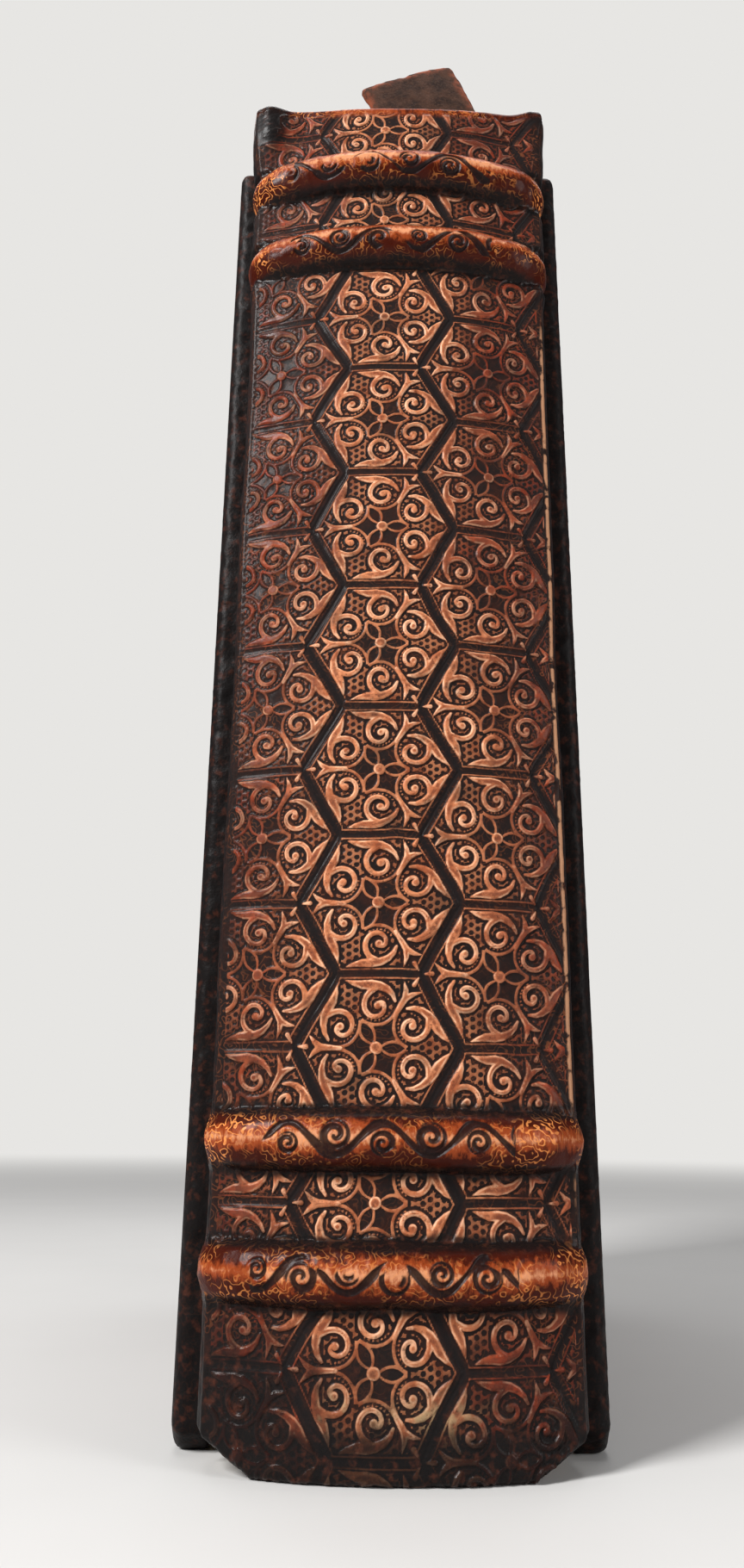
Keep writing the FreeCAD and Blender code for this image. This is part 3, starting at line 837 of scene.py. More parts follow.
def joint_strip(name, mirror):
    """The leather at a joint: a ribbon that dips between the back's wall and the board's edge.

    Its dip is half a sine wave, and folds run across it.
    """
    near = HINGE_Y + bpy.context.scene.book_cover.joint_gap / MM
    seed = 520 if mirror else 510
    overlap = 0.7
    end_gap = COVER_BEVEL + 0.6
    s, z = np.meshgrid(np.linspace(0, 1, 15), steps(end_gap, COVER_HIGH[2] - end_gap, 0.7))
    y = HINGE_Y - overlap + s * (near + 1.0 - HINGE_Y + overlap)
    bulge = np.sin(np.pi * s)
    folds = creases(0, y * 0.7, z * 1.5, 2.4, seed) - 0.7
    x = HINGE_X + 0.75 + (0.5 * folds - 0.9) * bulge
    front = np.stack([x, y, z], axis=2)
    back = np.stack([np.full(np.shape(z), HINGE_X - 0.2), y, z], axis=2)
    if mirror:
        front = front[:, ::-1] * MIRROR
        back = back[:, ::-1] * MIRROR
    return sheet_slab(name, front, back, plain_masks(z))


def bookmark_piece():
    """The worn leather slip: a sheet with round top corners, leaning and bent like the hollow back.

    Its places along and across are turned by the tilt, and its depth follows the back's inner arc.
    """
    settings = bpy.context.scene.book_slip
    width = settings.width / MM
    tilt = settings.tilt
    thickness = 1.0
    corner_round = 1.1
    corner_x = SLIP_LOW[0] - 0.75
    corner_z = SLIP_HIGH[2] + 1.4 - width * math.sin(tilt)
    length = (corner_z - SLIP_LOW[2]) / math.cos(tilt)
    s, t = np.meshgrid(steps(0, width, 0.4), steps(0, length, 0.4))
    from_side = np.minimum(s, width - s)
    beyond = np.clip(corner_round - from_side, 0, corner_round)
    cut = corner_round - np.sqrt(corner_round ** 2 - beyond ** 2)
    frayed = 0.5 * rough(s, 0, 0, 2.5, 600, 3) * ease(3, 0, t)
    depth = cut + t * (length - cut) / length + frayed
    wide = s + 0.35 * rough(0, t, 0, 3.5, 610, 3) * ease(2.0, 0, from_side)
    x = corner_x + wide * math.cos(tilt) + depth * math.sin(tilt)
    z = corner_z + wide * math.sin(tilt) - depth * math.cos(tilt)
    radius = SPINE_RADIUS - SPINE_THICK - 0.2
    curl = 0.9 * ease(HEAD_Z - 4, HEAD_Z + 11, z) ** 2
    wave = 0.25 * rough(x, z, 0, 5, 620, 2) * ease(HEAD_Z - 5, HEAD_Z, z)
    y = ARC_CENTRE_Y - np.sqrt(radius ** 2 - x ** 2) + curl + wave
    rounding = 0.3 * ease(0.9, 0, np.minimum(from_side, t))
    front = np.stack([x, y + rounding, z], axis=2)[::-1]
    back = np.stack([x, y + thickness - rounding, z], axis=2)[::-1]
    wear = ease(2.2, 0.2, np.minimum(from_side, depth - cut + 0.2) + 0.8 * rough(x, z, 0, 2, 630, 2))
    return sheet_slab("bookmark_slip", front, back, {"wear": wear[::-1]})


def endband_piece(name, low, high, up):
    """A sewn endband: a roll along the back's curve, wound with thread.

    The section is a circle whose radius swells at each turn of thread, flat where it meets the leaves.
    """
    radius = 1.6
    half_span = 22
    thread_pitch = 1.15
    flat = 1.3
    path = ARC_CENTRE_Y - (low[1] + radius)
    half = math.asin(half_span / path)
    seat = low[2] if up > 0 else high[2]
    turns = steps(-half, half, 0.22 / path)
    angles = np.linspace(0, 2 * math.pi, 21)[:-1]
    lean, angle = np.meshgrid(turns, angles, indexing="ij")
    thread = lean * path / thread_pitch + angle / (2 * math.pi) * 0.35
    swell = radius * (0.93 + 0.10 * np.abs(np.sin(math.pi * thread)))
    out = swell * np.cos(angle)
    rise = np.maximum(swell * np.sin(angle), -flat) if up > 0 else np.minimum(-swell * np.sin(angle), flat)
    x = (path + out) * np.sin(lean)
    y = ARC_CENTRE_Y - (path + out) * np.cos(lean)
    z = seat + up * 1.35 + rise
    points = np.stack([x, y, z], axis=2).reshape(-1, 3)
    rows, columns = lean.shape
    index = np.arange(rows * columns).reshape(rows, columns)
    after = np.roll(index, -1, axis=1)
    faces = np.stack([index[:-1], after[:-1], after[1:], index[1:]], axis=2).reshape(-1, 4).tolist()
    faces += [index[0, ::-1].tolist(), index[-1].tolist()]
    if up < 0:
        faces = [corners[::-1] for corners in faces]
    piece = to_mesh(name, points, faces)
    add_masks(piece, {"thread": np.mod(np.floor(thread), 2)}, rows * columns)
    return piece


# Materials

BACKGROUND = (0.80, 0.79, 0.77)
FLOOR_MOTTLE = (0.58, 0.57, 0.555)
FLOOR_FADE_NEAR = 0.35
FLOOR_FADE_FAR = 1.5
HOLLOW_RED = (0.028, 0.010, 0.007)
HOLLOW_LACE = (0.24, 0.070, 0.025)
STROKE_INSIDE = (0.13, 0.036, 0.020)
# Painted highlight along the lips of the bold strokes
STROKE_LIP_HIGHLIGHT = (0.78, 0.42, 0.25)
TRENCH = (0.011, 0.0085, 0.0085)
# Worn spots at the tail, painted pale gold with painted glints
WORN_GLINT = (0.78, 0.52, 0.27)
CHAR = (0.007, 0.006, 0.006)
CHAR_RED = (0.050, 0.016, 0.010)
BAND_LACE = (0.74, 0.26, 0.070)
BAND_ORNAMENT = (0.010, 0.006, 0.006)


class Graph:
    """A material's nodes, with one short call for each kind that is used."""

    def __init__(self, name):
        self.material = bpy.data.materials.new(name)
        self.material.use_nodes = True
        self.tree = self.material.node_tree
        self.shader = self.tree.nodes["Principled BSDF"]
        self.coordinates = self.node("ShaderNodeTexCoord").outputs["Object"]

    def node(self, kind, **values):
        """A new node of a kind, with some of its own settings."""
        made = self.tree.nodes.new(kind)
        for name, value in values.items():
            setattr(made, name, value)
        return made

    def plug(self, socket, value):
        """Links an output to a socket, or writes a number or colour into it."""
        if isinstance(value, bpy.types.NodeSocket):
            self.tree.links.new(value, socket)
        elif isinstance(value, (tuple, list)) and len(value) == 3 and len(socket.default_value) == 4:
            socket.default_value = (*value, 1)
        else:
            socket.default_value = value

    def mask(self, name):
        """A mask that add_masks has stored on the surface."""
        return self.node("ShaderNodeAttribute", attribute_name=name).outputs["Fac"]

    def noise(self, size, detail=3, rough_share=0.55, stretch=(1, 1, 1)):
        """Noise whose lumps are about the given size in millimetres, centred near 0.5."""
        place = self.node("ShaderNodeMapping")
        place.inputs["Scale"].default_value = stretch
        self.plug(place.inputs["Vector"], self.coordinates)
        made = self.node("ShaderNodeTexNoise")
        made.inputs["Scale"].default_value = 1 / (size * MM)
        made.inputs["Detail"].default_value = detail
        made.inputs["Roughness"].default_value = rough_share
        self.plug(made.inputs["Vector"], place.outputs["Vector"])
        return made.outputs["Fac"]

    def pores(self, size):
        """Cells of about the given size in millimetres: the distance to the nearest cell's middle."""
        made = self.node("ShaderNodeTexVoronoi")
        made.inputs["Scale"].default_value = 1 / (size * MM)
        self.plug(made.inputs["Vector"], self.coordinates)
        return made.outputs["Distance"]

    def math(self, operation, first, second=0.0, third=None):
        """One sum of a Math node."""
        made = self.node("ShaderNodeMath", operation=operation)
        self.plug(made.inputs[0], first)
        self.plug(made.inputs[1], second)
        if third is not None:
            self.plug(made.inputs[2], third)
        return made.outputs["Value"]

    def add(self, *values):
        """Sum of any number of values."""
        total = values[0]
        for value in values[1:]:
            total = self.math("ADD", total, value)
        return total

    def times(self, *values):
        """Product of any number of values."""
        total = values[0]
        for value in values[1:]:
            total = self.math("MULTIPLY", total, value)
        return total

    def scale(self, value, factor, offset):
        """A value times a factor, plus an offset."""
        return self.math("MULTIPLY_ADD", value, factor, offset)

    def ease(self, value, low, high, to_low=0.0, to_high=1.0):
        """Smooth step of a value between two levels, onto two others."""
        made = self.node("ShaderNodeMapRange", interpolation_type="SMOOTHSTEP")
        self.plug(made.inputs["Value"], value)
        for name, number in (("From Min", low), ("From Max", high), ("To Min", to_low), ("To Max", to_high)):
            made.inputs[name].default_value = number
        return made.outputs["Result"]

    def mix(self, share, first, second):
        """From the first colour to the second by a share. A Mix node's sixth socket on hold colours."""
        made = self.node("ShaderNodeMix", data_type="RGBA")
        self.plug(made.inputs["Factor"], share)
        self.plug(made.inputs[6], first)
        self.plug(made.inputs[7], second)
        return made.outputs[2]

    def finish(self, colour, roughness, height=None, strength=0.3, distance=0.2, coat=0.0, coat_rough=0.2,
               specular=0.5, sheen=0.0):
        """Wires colour, roughness and bump into the shader and sets its plain sockets."""
        self.plug(self.shader.inputs["Base Color"], colour)
        self.plug(self.shader.inputs["Roughness"], roughness)
        self.shader.inputs["Coat Weight"].default_value = coat
        self.shader.inputs["Coat Roughness"].default_value = coat_rough
        self.shader.inputs["Specular IOR Level"].default_value = specular
        self.shader.inputs["Sheen Weight"].default_value = sheen
        if height is not None:
            bump = self.node("ShaderNodeBump")
            bump.inputs["Strength"].default_value = strength
            bump.inputs["Distance"].default_value = distance * MM
            self.plug(bump.inputs["Height"], height)
            self.plug(self.shader.inputs["Normal"], bump.outputs["Normal"])
        return self.material


def tooled_leather(name, coat):
    """Embossed leather: copper or red on the raised strokes, black-brown in the hollows.

    The masks stored on the surface say where strokes, bands, worn rims and soot are, and where highlights
    and shade are painted.
    """
    g = Graph(name)
    spine = bpy.context.scene.book_spine
    mottle = g.noise(2.5, 4, 0.6)
    patch = g.noise(14, 3)
    ragged = g.scale(g.noise(0.7, 3), 0.16, -0.08)
    ends = g.ease(g.math("ABSOLUTE", g.mask("side")), 0.45, 0.95)
    lace = hairlines(g, ends)
    share = stroke_share(g, ragged)
    trench = g.ease(g.add(g.mask("edge"), g.times(ragged, 3.0)), 0.66, 0.30)
    hollow = g.mix(g.ease(mottle, 0.35, 0.8), tuple(spine.hollow), HOLLOW_RED)
    hollow = g.mix(g.times(lace, 0.4), hollow, HOLLOW_LACE)
    colour = g.mix(share, hollow, stroke_colour(g, spine, mottle, patch))
    colour = g.mix(g.times(trench, 0.88), colour, TRENCH)
    colour = g.mix(g.mask("band"), colour, band_colour(g, spine, patch, ragged, lace, ends))
    # Worn spots at the tail, painted pale gold with painted glints
    worn_glint_share = g.times(g.mask("worn_glint"), share, g.ease(g.noise(4, 3), 0.45, 0.6))
    colour = g.mix(worn_glint_share, colour, WORN_GLINT)
    # Worn rims, with a painted rim highlight on the right side of the back
    worn = g.times(g.mask("rim"), g.ease(g.noise(3, 3), 0.3, 0.55))
    colour = g.mix(g.ease(worn, 0.25, 0.7), colour, tuple(spine.rim))
    # Soot, and painted shade at the feet of the bands
    soot_and_shade = g.ease(g.add(g.mask("soot_and_shade"), g.scale(g.noise(4, 4, 0.6), 0.9, -0.45)), 0.25, 0.85)
    char = g.mix(g.ease(g.noise(1.5, 4), 0.50, 0.75), CHAR, CHAR_RED)
    colour = g.mix(g.times(soot_and_shade, 0.92), colour, char)
    grain = g.add(g.times(g.noise(0.35, 3, 0.6), 0.6), g.times(g.pores(0.8), 0.4))
    height = g.add(grain, g.times(g.noise(1.3, 3), soot_and_shade, 0.9), g.times(share, 0.3))
    return g.finish(colour, leather_gloss(g, share, soot_and_shade, trench), height, strength=0.45, distance=0.2,
                    coat=coat, coat_rough=0.16, specular=0.06)


def stroke_share(g, ragged):
    """1 on strokes and lines, 0 between them, broken by wear at two sizes."""
    bold = g.ease(g.add(g.mask("bold"), ragged), 0.06, -0.10)
    fine = g.ease(g.add(g.mask("fine"), ragged), 0.06, -0.08)
    comb = g.ease(g.add(g.mask("comb"), ragged), 0.05, -0.07)
    lines = g.math("MAXIMUM", g.times(fine, 0.8), g.times(comb, 0.55))
    wear = g.ease(g.noise(5, 4), 0.30, 0.48, 0.45, 1.0)
    fine_wear = g.ease(g.noise(0.8, 4, 0.7), 0.30, 0.46, 0.40, 1.0)
    return g.times(g.math("MAXIMUM", bold, lines), wear, fine_wear)


def stroke_colour(g, spine, mottle, patch):
    """Copper or red strokes by the warmth mask, dull inside, with a painted highlight along their lips."""
    copper = g.mix(g.ease(mottle, 0.38, 0.68), tuple(spine.copper), tuple(spine.copper_dull))
    red = g.mix(g.ease(mottle, 0.3, 0.65), tuple(spine.red), tuple(spine.red_dark))
    warm = g.add(g.mask("warm"), g.scale(patch, 0.9, -0.45))
    top = g.mix(g.ease(warm, 0.15, 0.85), red, copper)
    broken = g.ease(g.noise(1.1, 4, 0.7), 0.36, 0.56, 0.10, 0.75)
    inside = g.times(g.ease(g.mask("bold"), -0.28, -0.62), broken)
    top = g.mix(inside, top, STROKE_INSIDE)
    # Painted highlight along the lips of the bold strokes, stronger where the strokes are copper
    lip_highlight = g.times(g.ease(g.mask("bold"), 0.02, -0.10), g.ease(g.mask("bold"), -0.40, -0.20),
                  g.ease(g.noise(2.6, 4, 0.6), 0.40, 0.60), g.ease(warm, 0.1, 0.8, 0.2, 0.9))
    return g.mix(lip_highlight, top, STROKE_LIP_HIGHLIGHT)


def leather_gloss(g, share, soot_and_shade, trench):
    """Roughness: smoother on strokes, bands, soot and the painted shade at the bands' feet, rougher in the
    trenches, with fine changes.
    """
    gloss = g.scale(g.mask("band"), -0.40, g.scale(share, -0.34, 0.74))
    gloss = g.scale(trench, 0.12, g.scale(soot_and_shade, -0.32, gloss))
    gloss = g.add(gloss, g.scale(g.noise(1.8, 4), 0.36, -0.18))
    return g.math("MINIMUM", g.math("MAXIMUM", gloss, 0.2), 0.95)


def hairlines(g, ends):
    """Fine glowing lines of rubbed leather: level lines of a noise, more of them towards the sides."""
    levels = g.math("FRACT", g.times(g.noise(3.2, 2, 0.5), 9.0))
    line = g.ease(g.math("ABSOLUTE", g.math("SUBTRACT", levels, 0.5)), 0.16, 0.05)
    return g.times(line, g.ease(g.noise(8, 3), 0.38, 0.58), g.scale(ends, 0.6, 0.4))


def band_colour(g, spine, patch, ragged, lace, ends):
    """Bands: a painted highlight in tan along the top, and painted shade in dark red to both sides and
    towards the ends, broken by streaks, with black ornament.
    """
    curl = g.ease(g.add(g.mask("curl"), ragged), 0.16, -0.10)
    streaks = g.noise(0.9, 4, 0.65, (1.2, 1, 0.55))
    # Painted light: bright along each band's top and on the head roll, shaded on its flanks and darker
    # towards the ends
    lit = g.scale(ends, -0.35, g.scale(g.math("ABSOLUTE", g.mask("roll")), -1.7, 1.1))
    lit = g.add(lit, g.scale(streaks, 1.5, -0.75), g.scale(patch, 1.2, -0.6))
    amber = g.mix(g.ease(lit, 0.12, 0.62), tuple(spine.band_shade_and_streaks), tuple(spine.band))
    amber = g.mix(g.ease(lit, 0.62, 1.15), amber, tuple(spine.band_highlight))
    amber = g.mix(g.times(lace, 0.9), amber, BAND_LACE)
    return g.mix(g.times(curl, 0.94), amber, BAND_ORNAMENT)


def suede():
    """Brown suede with a short nap, rubbed red along its edges."""
    g = Graph("suede_slip")
    nap = g.noise(0.5, 4, 0.7)
    base = g.mix(g.ease(g.noise(3.5, 4, 0.6), 0.35, 0.68), (0.018, 0.009, 0.006), (0.055, 0.025, 0.015))
    base = g.mix(g.ease(nap, 0.45, 0.8, 0.0, 0.6), base, (0.105, 0.050, 0.030))
    worn = g.times(g.mask("wear"), g.ease(g.noise(1.6, 3), 0.35, 0.6))
    colour = g.mix(worn, base, (0.20, 0.050, 0.022))
    return g.finish(colour, 0.85, g.add(nap, g.times(g.noise(2.2, 3), 1.4)), strength=0.6, distance=0.3,
                    specular=0.1, sheen=0.03)


def page_edges():
    """Aged page edges: fine lines along the leaves, with brown stains."""
    g = Graph("page_edges")
    leaves = g.noise(0.22, 2, 0.5, (1, 0.012, 0.012))
    bundles = g.noise(2.6, 2, 0.5, (1, 0.05, 0.05))
    stain = g.noise(26, 4)
    base = g.mix(g.ease(stain, 0.35, 0.7), (0.50, 0.38, 0.22), (0.36, 0.24, 0.12))
    lines = g.mix(g.ease(leaves, 0.40, 0.62, 0.0, 0.75), base, (0.16, 0.10, 0.055))
    colour = g.mix(g.ease(bundles, 0.55, 0.75, 0.0, 0.55), lines, (0.13, 0.08, 0.045))
    return g.finish(colour, 0.88, g.add(leaves, g.times(bundles, 1.5)), strength=0.7, distance=0.25)


def endpaper():
    """Aged laid endpaper: warm, with faint lines and brown spots."""
    g = Graph("endpaper")
    cloud = g.noise(30, 4)
    colour = g.mix(g.ease(cloud, 0.3, 0.72), (0.52, 0.41, 0.25), (0.40, 0.28, 0.15))
    freckles = g.ease(g.noise(3.2, 4, 0.65), 0.66, 0.74)
    colour = g.mix(g.times(freckles, 0.6), colour, (0.22, 0.12, 0.055))
    laid = g.noise(0.9, 1, 0.4, (1, 1, 0.02))
    fibre = g.noise(0.4, 4, 0.6)
    return g.finish(colour, 0.9, g.add(fibre, laid), strength=0.25, distance=0.1)


def plain_fibre(name, light, dark, size, stretch=(1, 1, 1)):
    """A matt fibrous finish in two tones, for cord, board and lining paper."""
    g = Graph(name)
    fibre = g.noise(size, 5, 0.65, stretch)
    colour = g.mix(g.ease(fibre, 0.3, 0.7), light, dark)
    return g.finish(colour, 0.9, fibre, strength=0.6, distance=0.3)


def endband_thread():
    """Two colours of silk thread, wound by turns, faded and soiled."""
    g = Graph("endband_thread")
    turn = g.ease(g.mask("thread"), 0.4, 0.6)
    soil = g.ease(g.noise(2.4, 3), 0.35, 0.7)
    cream = g.mix(soil, (0.48, 0.36, 0.20), (0.24, 0.15, 0.08))
    red = g.mix(soil, (0.30, 0.035, 0.02), (0.13, 0.02, 0.014))
    return g.finish(g.mix(turn, cream, red), 0.62, g.noise(0.25, 3, 0.6), strength=0.4, distance=0.1,
                    sheen=0.2)


def floor_finish():
    """A plain pale floor with a faint mottle, which the camera sees fade into the background far out."""
    g = Graph("studio_floor")
    colour = g.mix(g.noise(60, 3), tuple(bpy.context.scene.book_stage.floor), FLOOR_MOTTLE)
    material = g.finish(colour, 0.75, specular=0.25)
    distance = g.node("ShaderNodeVectorMath", operation="LENGTH")
    g.plug(distance.inputs[0], g.coordinates)
    far = g.ease(distance.outputs["Value"], FLOOR_FADE_NEAR, FLOOR_FADE_FAR)
    glow = g.node("ShaderNodeEmission")
    g.plug(glow.inputs["Color"], BACKGROUND)
    fade = g.node("ShaderNodeMixShader")
    g.plug(fade.inputs["Fac"], g.times(far, g.node("ShaderNodeLightPath").outputs["Is Camera Ray"]))
    g.plug(fade.inputs[1], g.shader.outputs["BSDF"])
    g.plug(fade.inputs[2], glow.outputs["Emission"])
    g.plug(g.tree.nodes["Material Output"].inputs["Surface"], fade.outputs["Shader"])
    return material


def paint(piece, material):
    """Gives a piece one material."""
    piece.data.materials.clear()
    piece.data.materials.append(material)


# Settings

class BookSpine(bpy.types.PropertyGroup):
    """Grid size and colours of the back's leather"""
    cell: FloatProperty(name="Grid size", description="Size of the back's grid squares",
                        subtype="DISTANCE", unit="LENGTH", default=0.25 * MM, min=0.15 * MM, max=2.0 * MM)
    # The copper middle of the back is partly the strokes' own colour and partly a painted highlight
    copper: FloatVectorProperty(name="Copper", description="Raised strokes in the middle of the back",
                                subtype="COLOR", default=(0.56, 0.205, 0.092))
    copper_dull: FloatVectorProperty(name="Dull copper", description="Rubbed patches of the raised strokes",
                                     subtype="COLOR", default=(0.31, 0.085, 0.034))
    red: FloatVectorProperty(name="Deep red", description="Raised strokes towards the sides",
                             subtype="COLOR", default=(0.25, 0.036, 0.013))
    red_dark: FloatVectorProperty(name="Dark red", description="Dull patches towards the sides",
                                  subtype="COLOR", default=(0.070, 0.018, 0.011))
    hollow: FloatVectorProperty(name="Hollows", description="Leather between the strokes",
                                subtype="COLOR", default=(0.013, 0.0085, 0.0078))
    band: FloatVectorProperty(name="Bands", description="Burnished leather of the raised bands",
                              subtype="COLOR", default=(0.24, 0.042, 0.010))
    # Painted shade on the bands' flanks, with dark streaks
    band_shade_and_streaks: FloatVectorProperty(name="Dark bands", description="Painted shade and dark streaks on the raised bands",
                                   subtype="COLOR", default=(0.044, 0.0060, 0.0024))
    # Painted highlight along the bands' tops
    band_highlight: FloatVectorProperty(name="Bright bands", description="Painted highlight along the tops of the raised bands",
                                     subtype="COLOR", default=(0.56, 0.235, 0.115))
    # Worn rims, and a painted rim highlight on the right side of the back
    rim: FloatVectorProperty(name="Worn and highlit rims", description="Rubbed edges of the back, with a painted highlight on the right",
                             subtype="COLOR", default=(0.40, 0.20, 0.11))


class BookCover(bpy.types.PropertyGroup):
    """Grid size and joints of both covers"""
    cell: FloatProperty(name="Grid size", description="Size of a cover's grid squares",
                        subtype="DISTANCE", unit="LENGTH", default=0.8 * MM)
    joint_gap: FloatProperty(name="Joint gap", description="From the hinge line to the board's near edge",
                             subtype="DISTANCE", unit="LENGTH", default=4.0 * MM)


class BookSlip(bpy.types.PropertyGroup):
    """Size and lean of the leather slip"""
    width: FloatProperty(name="Width", description="Width of the leather slip",
                         subtype="DISTANCE", unit="LENGTH", default=21.0 * MM)
    tilt: FloatProperty(name="Tilt", description="How far the slip leans", subtype="ANGLE",
                        unit="ROTATION", default=math.radians(23))


class BookStage(bpy.types.PropertyGroup):
    """Where the camera stands, and the floor"""
    distance: FloatProperty(name="Camera distance", description="From the camera to the back's crown",
                            subtype="DISTANCE", unit="LENGTH", default=0.178)
    height: FloatProperty(name="Camera height", description="Height of the camera over the floor",
                          subtype="DISTANCE", unit="LENGTH", default=0.050)
    sideways: FloatProperty(name="Camera offset", description="How far the camera stands off the middle",
                            subtype="DISTANCE", unit="LENGTH", default=-0.0041)
    pitch: FloatProperty(name="Pitch", description="How far the camera looks up", subtype="ANGLE",
                         unit="ROTATION", default=math.radians(16.94))
    roll: FloatProperty(name="Roll", description="How far the camera is turned about its own line of sight",
                        subtype="ANGLE", unit="ROTATION", default=math.radians(0.65))
    lens: FloatProperty(name="Lens", description="Focal length for a frame 36 mm high", default=25.3)
    floor_reach: FloatProperty(name="Floor size", description="From the middle of the floor to its edges",
                               subtype="DISTANCE", unit="LENGTH", default=4.0)
    floor: FloatVectorProperty(name="Floor", description="Colour of the floor", subtype="COLOR",
                               default=(0.62, 0.61, 0.595))


# Operators

class BOOK_OT_spine(bpy.types.Operator):
    """Makes the embossed leather of the back in four pieces, cut where bands or rows meet"""
    bl_idname = "book.spine"
    bl_label = "Spine leather"

    def execute(self, context):
        points, masks = spine_surface()
        normals = grid_normals(points)
        material = tooled_leather("tooled_spine_leather", 0.05)
        z = points[:, :, 2]
        crown = z[:, z.shape[1] // 2]
        cuts = [0]
        for height in (BAND_Z[1] + BAND_CLEAR, STAMP_Z, BAND_Z[2] - BAND_CLEAR):
            cuts.append(int(np.argmin(np.abs(crown - height))))
        cuts.append(len(z) - 1)
        names = ("spine_leather_tail", "spine_leather_lower", "spine_leather_upper", "spine_leather_head")
        x, y, out_x, out_y = outline(masks["side"][0] * ARC_LENGTH)
        for name, low, high in zip(names, cuts[:-1], cuts[1:]):
            part = slice(low, high + 1)
            backing = [np.stack([x - SPINE_THICK * out_x, y - SPINE_THICK * out_y, z[row]], axis=1)
                       for row in (low, high)]
            piece = slab(name, points[part], normals[part], {k: v[part] for k, v in masks.items()}, backing)
            paint(piece, material)
            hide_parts("spine_leather")
            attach(piece, "book_block")
        return {"FINISHED"}


class BOOK_OT_covers(bpy.types.Operator):
    """Makes both leather covers and the leather of their joints"""
    bl_idname = "book.covers"
    bl_label = "Covers and joints"

    def execute(self, context):
        material = tooled_leather("tooled_cover_leather", 0.0)
        for side, mirror in (("front", False), ("back", True)):
            piece = cover_shell(side + "_cover_skin", mirror)
            paint(piece, material)
            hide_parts(side + "_cover_leather")
            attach(piece, side + "_cover")
            strip = joint_strip(side + "_joint_leather", mirror)
            paint(strip, material)
            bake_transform(strip)
        return {"FINISHED"}


class BOOK_OT_slip(bpy.types.Operator):
    """Makes the worn leather slip that stands out of the hollow back"""
    bl_idname = "book.slip"
    bl_label = "Leather slip"

    def execute(self, context):
        piece = bookmark_piece()
        paint(piece, suede())
        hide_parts("bookmark")
        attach(piece, "book_block")
        return {"FINISHED"}


class BOOK_OT_endbands(bpy.types.Operator):
    """Makes the two sewn endbands"""
    bl_idname = "book.endbands"
    bl_label = "Endbands"

    def execute(self, context):
        material = endband_thread()
        for node, up in (("head_endband", 1), ("tail_endband", -1)):
            low, high = node_box(node)
            piece = endband_piece(node + "_thread", low, high, up)
            paint(piece, material)
            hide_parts(node)
            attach(piece, "book_block")
        return {"FINISHED"}


class BOOK_OT_inside(bpy.types.Operator):
    """Gives the leaves, papers, boards, cords and linings their finishes"""
    bl_idname = "book.inside"
    bl_label = "Leaves and linings"

    def execute(self, context):
        nodes = frame["nodes"]
        paper = endpaper()
        cord = plain_fibre("hemp_cord", (0.50, 0.40, 0.24), (0.22, 0.15, 0.08), 0.8, (1, 1, 3))
        board = plain_fibre("pulp_board", (0.36, 0.27, 0.17), (0.24, 0.17, 0.10), 1.2)
        lining = plain_fibre("lining_paper", (0.42, 0.33, 0.21), (0.27, 0.19, 0.11), 0.7)
        paint(nodes["text_block"], page_edges())
        paint(nodes["spine_lining"], lining)
        for number in range(1, 5):
            paint(nodes["band_cord_%d" % number], cord)
        for side in ("front", "back"):
            paint(nodes[side + "_board"], board)
            paint(nodes[side + "_cord_slips"], cord)
            paint(nodes[side + "_pastedown"], paper)
            paint(nodes[side + "_flyleaf"], paper)
        return {"FINISHED"}


# Name, place, aim, size and power of each lamp, in metres and watts
LAMPS = (("key_softbox", (-0.62, -0.62, 0.72), (0, -0.08, 0.12), (0.26, 0.4), 16.5),
         ("fill_softbox", (0.60, -0.45, 0.30), (0, -0.08, 0.12), (0.30, 0.5), 2.6),
         ("top_softbox", (0.0, 0.10, 0.85), (0, -0.02, 0.15), (0.6, 0.6), 4.0))
ROOM_LIGHT = (0.12, 0.122, 0.13)


def area_light(name, place, aim, size, energy):
    """A soft square lamp at a place, turned towards a point."""
    data = bpy.data.lights.new(name, "AREA")
    data.shape = "RECTANGLE"
    data.size = size[0]
    data.size_y = size[1]
    data.energy = energy
    lamp = bpy.data.objects.new(name, data)
    lamp.location = place
    lamp.rotation_euler = (Vector(aim) - Vector(place)).to_track_quat("-Z", "Y").to_euler()
    bpy.context.scene.collection.objects.link(lamp)


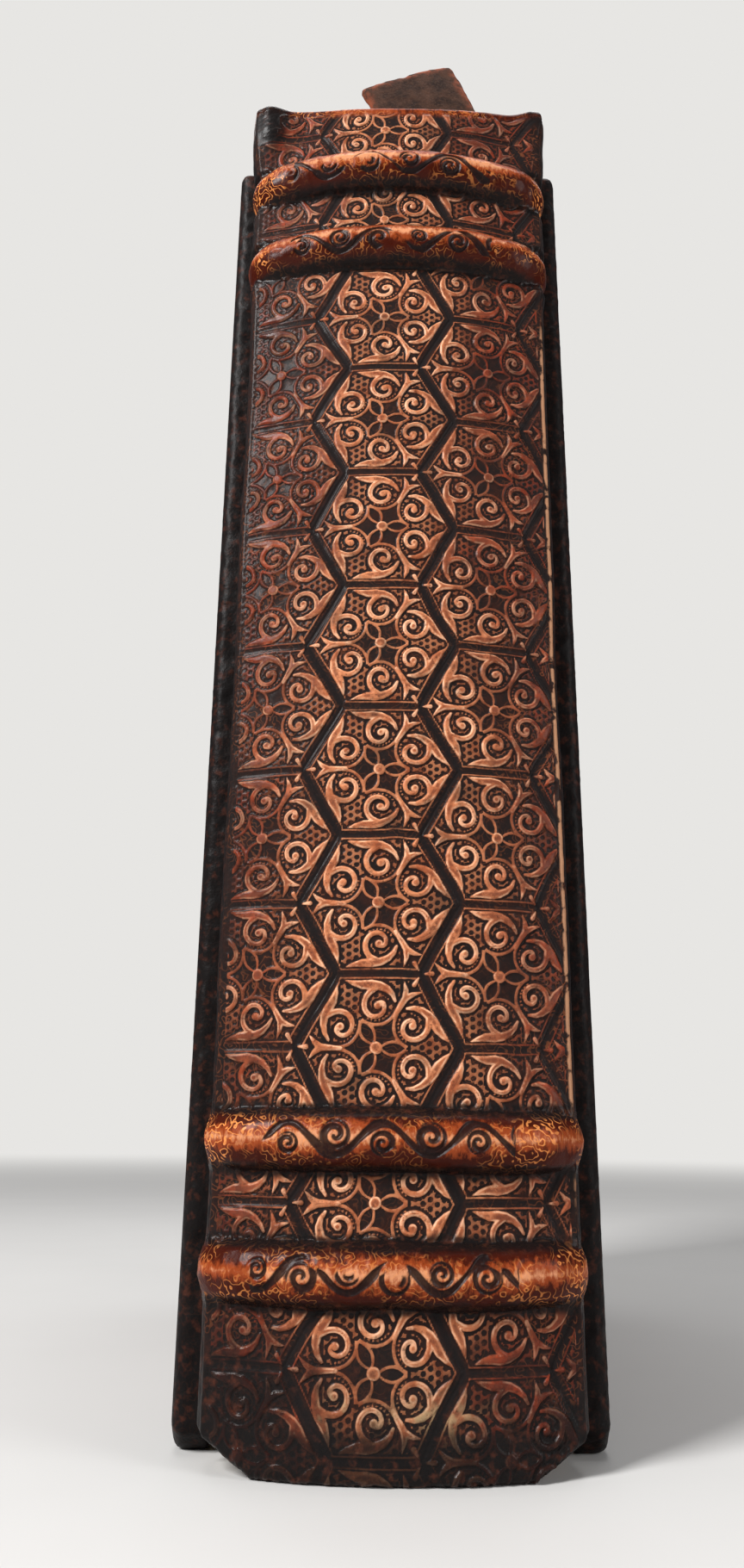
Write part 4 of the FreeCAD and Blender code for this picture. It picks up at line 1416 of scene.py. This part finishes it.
class BOOK_OT_stage(bpy.types.Operator):
    """Makes the floor, the light and the camera"""
    bl_idname = "book.stage"
    bl_label = "Floor, light and camera"

    def execute(self, context):
        stage = context.scene.book_stage
        reach = stage.floor_reach / MM
        level = -0.05
        corners = [(x * reach, y * reach, level) for x, y in ((-1, -1), (1, -1), (1, 1), (-1, 1))]
        floor = to_mesh("studio_floor", corners, [[0, 1, 2, 3]], smooth=False)
        paint(floor, floor_finish())
        for lamp in LAMPS:
            area_light(*lamp)
        self.light_world(context.scene)
        self.place_camera(context.scene, stage)
        context.scene.view_settings.view_transform = "Standard"
        return {"FINISHED"}

    def light_world(self, scene):
        """A dim even light all round, behind which the camera sees a pale background."""
        world = bpy.data.worlds.new("studio_world")
        world.use_nodes = True
        scene.world = world
        nodes = world.node_tree.nodes
        links = world.node_tree.links
        path = nodes.new("ShaderNodeLightPath")
        mix = nodes.new("ShaderNodeMix")
        mix.data_type = "RGBA"
        mix.inputs[6].default_value = (*ROOM_LIGHT, 1)
        mix.inputs[7].default_value = (*BACKGROUND, 1)
        links.new(path.outputs["Is Camera Ray"], mix.inputs["Factor"])
        links.new(mix.outputs[2], nodes["Background"].inputs["Color"])

    def place_camera(self, scene, stage):
        """The camera stands low and close in front of the back and looks up."""
        data = bpy.data.cameras.new("photo_camera")
        data.sensor_fit = "VERTICAL"
        data.sensor_height = 36
        data.lens = stage.lens
        data.clip_start = 0.01
        data.clip_end = 20
        camera = bpy.data.objects.new("photo_camera", data)
        camera.location = (stage.sideways, CROWN_Y * MM - stage.distance, stage.height)
        look = Euler((math.pi / 2 + stage.pitch, 0, 0)).to_matrix()
        turn = Euler((0, 0, stage.roll)).to_matrix()
        camera.rotation_euler = (look @ turn).to_euler()
        scene.collection.objects.link(camera)
        scene.camera = camera


class BOOK_PT_panel(bpy.types.Panel):
    """Lists the steps that make the book"""
    bl_idname = "BOOK_PT_panel"
    bl_label = "Old Book"
    bl_space_type = "VIEW_3D"
    bl_region_type = "UI"
    bl_category = "Old Book"

    def draw(self, context):
        for step in STEPS:
            self.layout.operator(step.bl_idname)
        for group in GROUPS:
            settings = getattr(context.scene, group)
            box = self.layout.box()
            for name in settings.__annotations__:
                box.prop(settings, name)


GROUPS = {"book_spine": BookSpine, "book_cover": BookCover, "book_slip": BookSlip, "book_stage": BookStage}
STEPS = (BOOK_OT_spine, BOOK_OT_covers, BOOK_OT_slip, BOOK_OT_endbands, BOOK_OT_inside, BOOK_OT_stage)


def register():
    """Adds the settings, steps and panel to Blender."""
    for name, group in GROUPS.items():
        bpy.utils.register_class(group)
        setattr(bpy.types.Scene, name, PointerProperty(type=group))
    for step in (*STEPS, BOOK_PT_panel):
        bpy.utils.register_class(step)


def unregister():
    """Takes them out again."""
    for step in (*STEPS, BOOK_PT_panel):
        bpy.utils.unregister_class(step)
    for name, group in GROUPS.items():
        delattr(bpy.types.Scene, name)
        bpy.utils.unregister_class(group)


def main():
    """Makes the whole book."""
    register()
    bpy.ops.book.spine()
    bpy.ops.book.covers()
    bpy.ops.book.slip()
    bpy.ops.book.endbands()
    bpy.ops.book.inside()
    bpy.ops.book.stage()


if __name__ == "__main__":
    main()
